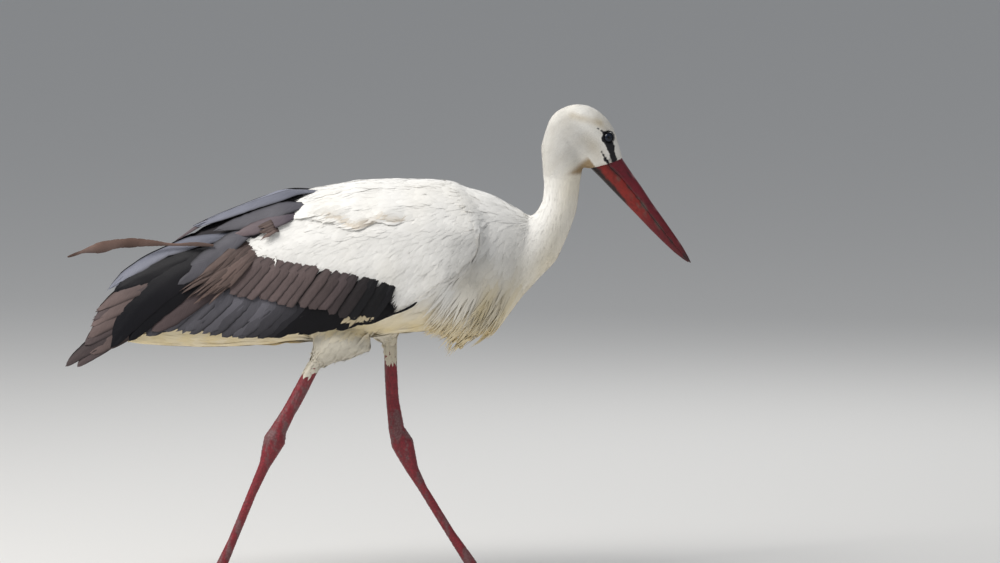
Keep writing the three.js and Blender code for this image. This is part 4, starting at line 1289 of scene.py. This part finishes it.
wing_piece("frayed_tuft", [
    wing_row(roots=[(-180, 486), (-160, 470)], middles=[(-221, 448), (-196, 429)],
             tips=[(-268, 414), (-252, 403), (-232, 396)], count=9, half=(5, 6), base=6.0, styles=("rust",),
             seed=80, tilt=0.8, taper=0.6, fray=0.3, wave=0.9, point=0.4),
    wing_row(roots=[(-140, 509), (-135, 496)], middles=[(-152, 502), (-147, 489)],
             tips=[(-165, 497), (-160, 484)], count=5, half=(3.0, 3.0), base=4.4, styles=("rust",), seed=86,
             tilt=0.4, taper=0.6, fray=0.25, wave=0.3, point=0.2),
], BROWN_VANE, "wing_brown")
wing_piece("edge_patch", [
    wing_row(roots=[(-36, 379), (0, 380)], middles=[(-42, 374), (-8, 375)], tips=[(-51, 367), (-14, 369)],
             count=7, half=(3.6, 3.2), base=3.0, styles=("cream_edge",), seed=95, tilt=0.4, taper=0.6,
             fray=0.2, rows=8),
], WHITE_VANE, "plumage_white")

# %% [markdown]
# ## The loose feather and the tail
# One worn feather has slipped out of the closed right wing and trails free behind it. It is a single long
# vane with a wavy rim. The tail is a short fan of twelve white feathers under the wing tips.

# %% Loose feather
LOOSE = np.array([  # forward, up, half width, out to the right
    (-226, 472.5, 1.6, 55), (-249, 474, 3.2, 49), (-264, 473.5, 2.8, 43), (-277, 472, 1.8, 37),
    (-292, 472, 2.0, 29), (-311, 473.3, 4.4, 24), (-336, 474, 6.0, 22), (-365, 472, 7.5, 20),
    (-384, 467, 7.5, 18), (-399, 464, 6.2, 17), (-409, 461.5, 3.2, 16), (-421, 457, 2.2, 16),
    (-433.4, 452.5, 0.6, 15),
]) * MM
LOOSE_ROWS, LOOSE_COLS = 70, 9
LOOSE_LENGTH = 0.22
LOOSE_BROWN = np.array((0.100, 0.060, 0.048))


def loose_vane(u, v, seed=81, lean=0.2):
    """The free feather's grid and half widths, in metres; lean turns its face up."""
    draw = np.random.default_rng(seed)
    share = (LOOSE[:, 0] - LOOSE[0, 0]) / (LOOSE[-1, 0] - LOOSE[0, 0])
    even = [np.pad(np.interp(u[:, 0], share, LOOSE[:, k]), 2, "edge") for k in range(4)]
    x, z, half, out = (np.convolve(values, np.ones(5) / 5, "valid") for values in even)
    spine = np.stack((x, -out, z), 1)
    course = unit(np.gradient(spine, axis=0))
    up = np.tile((0, 0.0, 1.0), (len(u), 1))
    up[:, 1] = lean + 0.25 * np.sin(u[:, 0] * 9)
    side = unit(up - course * (up * course).sum(1, keepdims=True))
    face = np.cross(course, side)
    rag = 1 + 0.10 * np.sin(u * 26) * v**2 * step(0.35, 0.6, u) - 0.12 * draw.random((len(u), 1)) ** 4
    wide = half[:, None] * rag
    ruffle = (1.1 * np.sin(u * 31) * v + 0.2 * np.sin(u * 17 + 1) * v**2) * step(0.3, 0.5, u)
    rise = ruffle + 0.5 * (1 - v**2) + 0.6 * np.exp(-((v / SHAFT) ** 2))
    grid = spine[:, None] + side[:, None] * (wide * v)[..., None] + face[:, None] * (rise * MM)[..., None]
    return grid, wide * v


u, v = np.linspace(0, 1, LOOSE_ROWS)[:, None], np.linspace(-1, 1, LOOSE_COLS)[None]
grid, across = loose_vane(u, v)
tone = 1 + 0.5 * np.exp(-((v / 0.14) ** 2)) + 0.35 * step(0.8, 1, np.abs(v)) - 0.45 * (1 - step(0.1, 0.4, u))
tone = tone * (1 + 0.15 * np.sin(u * 23 + 2 * v)) * (0.8 + 0.35 * v)
patch = np.stack(np.broadcast_arrays(0.1 + 0.05 * (v + 1), 0.02 + 0.96 * u), -1)
along = np.broadcast_to(u * LOOSE_LENGTH, across.shape)
arrays = (grid, LOOSE_BROWN * tone[..., None], across, along, patch)
loose = feather_piece("loose_feather_vane", *(a[None] for a in arrays))
finish_piece(loose, BROWN_VANE, "wing_brown", "loose_feather")

# %% Tail fan
TAIL_FEATHERS = 12
TAIL_ROWS, TAIL_COLS = 14, 7
TAIL_ROOT = (-0.205, 0.412)  # forward, up
TAIL_RUN, TAIL_DROP, TAIL_HALF = 0.170, 0.076, 0.011
TAIL_LENGTH = 0.18
# The tail's cream is partly stain and partly painted light bounced up from the ground, as on the belly.
TAIL_CREAM_STAIN_AND_BOUNCE = 0.65 * WHITE + 0.35 * CREAM_STAIN_AND_BOUNCE

draw = np.random.default_rng(82)
u, v = np.linspace(0, 1, TAIL_ROWS)[:, None], np.linspace(-1, 1, TAIL_COLS)[None]
fan = []
for index in range(TAIL_FEATHERS):
    spread = (index - (TAIL_FEATHERS - 1) / 2) / (TAIL_FEATHERS / 2)
    reach = u * (1 + 0.03 * draw.uniform(-1, 1, (1, TAIL_COLS)) * step(0.7, 1, u))
    wide = TAIL_HALF * profile(u, 0.4, 0.3, 0.8, 0.1) * v
    x = TAIL_ROOT[0] - TAIL_RUN * reach
    y = spread * (0.006 + 0.010 * reach) + wide
    z = TAIL_ROOT[1] - TAIL_DROP * reach + 0.004 * np.sin(reach * 3) - 0.0054 * abs(spread)
    z = z + 0.0008 * (1 - v**2) + 0.0006 * v * np.sign(spread)
    grid = np.stack(np.broadcast_arrays(x, y, z), -1)
    tint = np.broadcast_to(TAIL_CREAM_STAIN_AND_BOUNCE * draw.uniform(0.9, 1), grid.shape)
    patch = np.stack(np.broadcast_arrays((index + 0.5 + 0.4 * v) / TAIL_FEATHERS, 0.02 + 0.96 * u), -1)
    fan.append((grid, tint, wide, np.broadcast_to(u * TAIL_LENGTH, wide.shape), patch))
tail = feather_piece("tail_feathers", *(np.array(column) for column in zip(*fan)))
finish_piece(tail, WHITE_VANE, "plumage_tail", "tail")


# %% [markdown]
# ## Bill
# A stork's bill is two long horn sheaths. The upper one has a rounded ridge, the lower one a keel, and they
# close along a slightly wavy line. Each sheath is a row of rings bridged into a tube.

# %% Lofted horn
def loft(name, rings):
    """A closed tube through rings of points, one bmesh circle each."""
    made = bmesh.new()
    edges = []
    for number, ring in enumerate(rings):
        ends = number in (0, len(rings) - 1)
        circle = bmesh.ops.create_circle(made, segments=len(ring), radius=1, cap_ends=ends)
        for vert, place in zip(circle["verts"], ring):
            vert.co = place
        edges.append([e for e in made.edges if all(v in set(circle["verts"]) for v in e.verts)])
    for first, second in zip(edges, edges[1:]):
        bmesh.ops.bridge_loops(made, edges=first + second)
    bmesh.ops.recalc_face_normals(made, faces=made.faces)
    return object_from(name, made)


BILL = np.array([  # along, top, bottom, half width, in millimetres like all that follows on the bill
    (-22, 24, -21.5, 16.5), (4, 20.4, -19.2, 14.2), (25, 18, -17.9, 12.4), (50, 15.8, -16, 10.8),
    (75, 12.7, -14.2, 9.3), (100, 10.6, -12.8, 7.8), (125, 8.3, -10.6, 6.2), (148, 6, -7.9, 4.3),
    (165, 2.8, -4.2, 2.5), (174, 0.4, -1, 0.7),
])
CLOSING = np.array([(-60, 8), (-24, 4.8), (-2, 1), (20, 3.3), (60, 2.2), (103, 0), (140, -0.9), (200, -0.6)])
RINGS, RING_POINTS = 60, 40
HORN_ENDS = {True: (-22, 173.6), False: (-22, 171)}  # where the upper and the lower horn begin and end
PARTING = 0.22  # half the gap between them


def bill_rings(upper):
    """Rings of points along one horn."""
    rings = []
    angle = np.linspace(0, 2 * math.pi, RING_POINTS, endpoint=False)
    bow, swell = np.cos(angle), np.sin(angle)
    for along in np.linspace(*HORN_ENDS[upper], RINGS):
        top, bottom, half = (np.interp(along, BILL[:, 0], BILL[:, k]) for k in (1, 2, 3))
        seam = np.clip(np.interp(along, CLOSING[:, 0], CLOSING[:, 1]), bottom + 0.3, top - 0.3)
        tall = (top - seam) if upper else (seam - bottom)
        outer = swell > 0
        height = np.where(outer, np.abs(swell) ** 0.9 * tall, -0.12 * np.abs(swell) * min(tall, 2))
        width = half * np.sign(bow) * np.abs(bow) ** 0.8 * (1 if upper else 0.96)
        groove = 0.55 * np.exp(-(((np.abs(height) - 0.62 * tall) / 1.1) ** 2))
        width -= np.sign(bow) * groove * outer * (0 < along < 90) * upper
        up = seam + (PARTING + height if upper else -PARTING - height)
        rings.append([tuple(BILL_ROOT + (BILL_AHEAD * along + BILL_UP * b) * MM + np.array((0, y, 0)) * MM)
                      for y, b in zip(width, up)])
    return rings


HORN_RED = {True: (0.135, 0.006, 0.014), False: (0.215, 0.014, 0.009)}  # of the upper and the lower horn
CRIMSON = np.array((0.125, 0.007, 0.012))
SEAM_DIRT = np.array((0.035, 0.022, 0.022))
DRY_MUD = np.array((0.115, 0.095, 0.078))
WORN_PINK = np.array((0.55, 0.33, 0.34))
KEEL_BLACK = np.array((0.012, 0.010, 0.010))
# The next colour is painted shade inside the nostril's opening.
NOSTRIL_SHADE = np.array((0.015, 0.010, 0.012))
TIP_BROWN = np.array((0.045, 0.022, 0.022))


def soil(colour, points, along, up, seam, dirt):
    """Dirt in the seam, dried mud on the sides and darker scuffs."""
    in_seam = np.exp(-(((up - seam) / 2.0) ** 2)) * step(-0.9, 0.6, dirt)
    colour = mix(colour, SEAM_DIRT, np.clip(in_seam, 0, 0.92))
    mud = spot(along, up, 66, seam - 2.5, 17, 4.6) * step(-0.6, 0.5, dirt)
    mud += 0.8 * spot(along, up, 19, seam - 4.5, 2.6, 2.4)
    mud += 0.5 * spot(along, up, 105, seam - 1, 14, 3) * step(-0.3, 0.7, dirt)
    colour = mix(colour, DRY_MUD, np.clip(mud, 0, 0.85))
    return colour * (1 - 0.30 * step(0.1, 1.0, ripple(points, 0.007, 16)))[:, None]


def bill_colour(points, upper):
    """Crimson above, orange red below, with mud, scratches, a black keel stripe and a dark tip."""
    along, up = (value / MM for value in head_frame(points))
    top, bottom = (np.interp(along, BILL[:, 0], BILL[:, k]) for k in (1, 2))
    seam = np.interp(along, CLOSING[:, 0], CLOSING[:, 1])
    dirt = ripple(points, 0.012, 7) + 0.6 * ripple(points, 0.004, 8)
    colour = np.tile(HORN_RED[upper], (len(points), 1)) * (1 + 0.12 * ripple(points, 0.03, 6))[:, None]
    colour = mix(colour, CRIMSON, step(60, 110, along))
    colour = soil(colour, points, along, up, seam, dirt)
    if upper:
        # The nostril slit is painted dark, as the shade inside its opening.
        slit = np.exp(-(((up - (15.0 - 0.05 * along)) / 0.8) ** 2))
        slit *= step(16, 19, along) * step(31, 28, along)
        colour = mix(colour, NOSTRIL_SHADE, np.clip(slit, 0, 0.95))
        pale = np.exp(-(((up - top) / 1.4) ** 2)) * step(0.2, 1.0, ripple(points, 0.018, 9))
        colour = mix(colour, WORN_PINK, 0.45 * np.clip(pale, 0, 1))
    else:
        level = (up - bottom) / (seam - bottom + 0.01) + 0.06 * ripple(points, 0.010, 15)
        stripe = step(0.36, 0.26, level + 0.2 * step(20, 60, along)) * step(64, 44, along)
        colour = mix(colour, KEEL_BLACK, 0.97 * stripe)
    tip = step(132, 172, along) * (0.65 + 0.35 * np.tanh(2 * dirt))
    return np.clip(mix(colour, TIP_BROWN, np.clip(tip, 0, 0.9)), 0, 1)


BILL_HORN = skin_material("bill_horn", 0.42, 260, 0.35, 0.3, Specular_IOR_Level=0.35)
for name, upper in (("bill_upper_horn", True), ("bill_lower_horn", False)):
    piece = loft(name, bill_rings(upper))
    paint(piece.data, bill_colour(get_points(piece.data), upper))
    finish_piece(piece, BILL_HORN, "bill_red", name.replace("_horn", ""))
    print(name, len(piece.data.polygons), "faces")

# %% [markdown]
# ## Eyes
# The eye is a dark, wet ball set deep behind a thick black lid. Ball and lid are turned shapes; the lid is a
# ring a little wider than it is high.

# %% Eyes and lids
eye_finish, tree, shader = new_material("wet_eye", 0.07, Specular_IOR_Level=0.3)
place = add(tree, "TexCoord").outputs["Object"]
tint = add(tree, "Attribute", attribute_name="Tint").outputs["Color"]
fibre = add(tree, "TexNoise", {"Vector": place, "Scale": 900.0, "Detail": 3.0})
tree.links.new(shade(tree, tint, fibre.outputs[0], 0.6, 1.4), shader.inputs["Base Color"])
lid_finish = skin_material("lid_skin", 0.85, 700, 0.3, 0.4, Specular_IOR_Level=0.12)
EYE_RADIUS = 8.0 * MM
EYE_LOOK = (0.12, 0.02)  # how far each eye looks forward and up
# The next colour is a dark iris tinted blue by a painted reflection of the sky.
IRIS_WITH_SKY_SHEEN = np.array((0.004, 0.008, 0.020))
PUPIL_BLACK = 0.002
PUPIL_EDGE, IRIS_EDGE = (2.1 * MM, 2.5 * MM), (5.6 * MM, 5.0 * MM)
LID_RADIUS, LID_REACH, LID_OUT = 0.85 * MM, 6.1 * MM, 4.9 * MM


def eye_ball(name, turn):
    ball = bmesh.new()
    bmesh.ops.create_uvsphere(ball, u_segments=48, v_segments=32, radius=EYE_RADIUS)
    bmesh.ops.transform(ball, matrix=turn, verts=ball.verts)
    return object_from(name, ball)


def eye_lid(name, turn):
    """A small circle spun into a ring round the eye."""
    rim = bmesh.new()
    bmesh.ops.create_circle(rim, segments=14, radius=LID_RADIUS)
    upright = Matrix.Rotation(math.pi / 2, 3, "X")
    bmesh.ops.rotate(rim, cent=(0, 0, 0), matrix=upright, verts=rim.verts)
    bmesh.ops.translate(rim, vec=(LID_REACH, 0, LID_OUT), verts=rim.verts)
    bmesh.ops.spin(rim, geom=rim.verts[:] + rim.edges[:], cent=(0, 0, 0), axis=(0, 0, 1), angle=2 * math.pi,
                   steps=48, use_merge=True)
    bmesh.ops.recalc_face_normals(rim, faces=rim.faces)
    bmesh.ops.transform(rim, matrix=turn, verts=rim.verts)
    return object_from(name, rim)


for side, sign in SIDES.items():
    centre = BILL_ROOT + BILL_AHEAD * EYE_ALONG + BILL_UP * EYE_UP + np.array((0, sign * EYE_OUT, 0))
    outward = Vector((EYE_LOOK[0], sign, EYE_LOOK[1])).normalized()
    turn = Matrix.Translation(centre) @ outward.to_track_quat("Z", "Y").to_matrix().to_4x4()
    ball = eye_ball(f"eye_ball_{side}", turn)
    off_axis = np.linalg.norm(np.cross(get_points(ball.data) - centre, np.array(outward)), axis=1)
    in_iris = step(*PUPIL_EDGE, off_axis) * step(*IRIS_EDGE, off_axis)
    paint(ball.data, IRIS_WITH_SKY_SHEEN * in_iris[:, None] + PUPIL_BLACK)
    finish_piece(ball, eye_finish, "eye_dark", f"eye_{side}")
    lid = eye_lid(f"eye_lid_{side}", turn)
    paint(lid.data, np.tile(BARE_BLACK * 0.5, (len(lid.data.vertices), 1)))
    finish_piece(lid, lid_finish, "eye_dark")
print("eyes done")

# %% [markdown]
# ## Claws
# Each toe ends in a short, blunt, curved nail. It is a tube of rings that narrows and dips forward.

# %% Claws
CLAW_RINGS, CLAW_POINTS = 12, 16
CLAW_THICK, CLAW_BLUNT = 2.5 * MM, 0.25 * MM  # half thickness at the root, and what is left of it at the tip
CLAW_HIGH, CLAW_LOW = 3.6 * MM, 0.5 * MM  # level of root and tip
CLAW_BROWN, CLAW_TIP = np.array((0.045, 0.036, 0.034)), np.array((0.16, 0.11, 0.08))


def claw_rings(start, ahead, reach):
    """Rings of a nail that starts at a point and runs ahead over the floor."""
    beside = np.cross((0, 0, 1), ahead)
    rings = []
    for t in np.linspace(0, 1, CLAW_RINGS):
        size = CLAW_THICK * (1 - t) ** 0.7 + CLAW_BLUNT
        middle = start + ahead * t * reach * 0.9
        middle[2] = max(CLAW_HIGH - (CLAW_HIGH - CLAW_LOW) * t**1.6, size * 1.02)
        rings.append([
            tuple(middle + beside * size * 0.8 * math.cos(a) + np.array((0, 0, size * math.sin(a))))
            for a in np.linspace(0, 2 * math.pi, CLAW_POINTS, endpoint=False)
        ])
    return rings


claw_finish = skin_material("claw_horn", 0.42, 500, 0.35, 0.3)
for side in SIDES:
    foot = (np.array(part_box(f"foot_{side}")[0]) + np.array(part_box(f"foot_{side}")[1])) / 2
    for toe in ("inner", "middle", "outer", "back"):
        low, high = (np.array(c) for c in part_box(f"claw_{side}_{toe}"))
        ahead = unit(((low + high) / 2 - foot) * np.array((1, 1, 0)))
        reach = abs(ahead[0]) * (high - low)[0] + abs(ahead[1]) * (high - low)[1]
        start = (low + high) / 2 - ahead * reach * 0.45
        nail = loft(f"nail_{side}_{toe}", claw_rings(start, ahead, reach))
        share = (get_points(nail.data) - start) @ ahead / reach
        paint(nail.data, mix(np.tile(CLAW_BROWN, (len(share), 1)), CLAW_TIP, step(0.5, 1, share)))
        finish_piece(nail, claw_finish, "claw_horn", f"claw_{side}_{toe}")
print("claws done")

# %% Colour view
bpy.context.view_layer.update()
bpy.context.scene.view_settings.view_transform = "Standard"
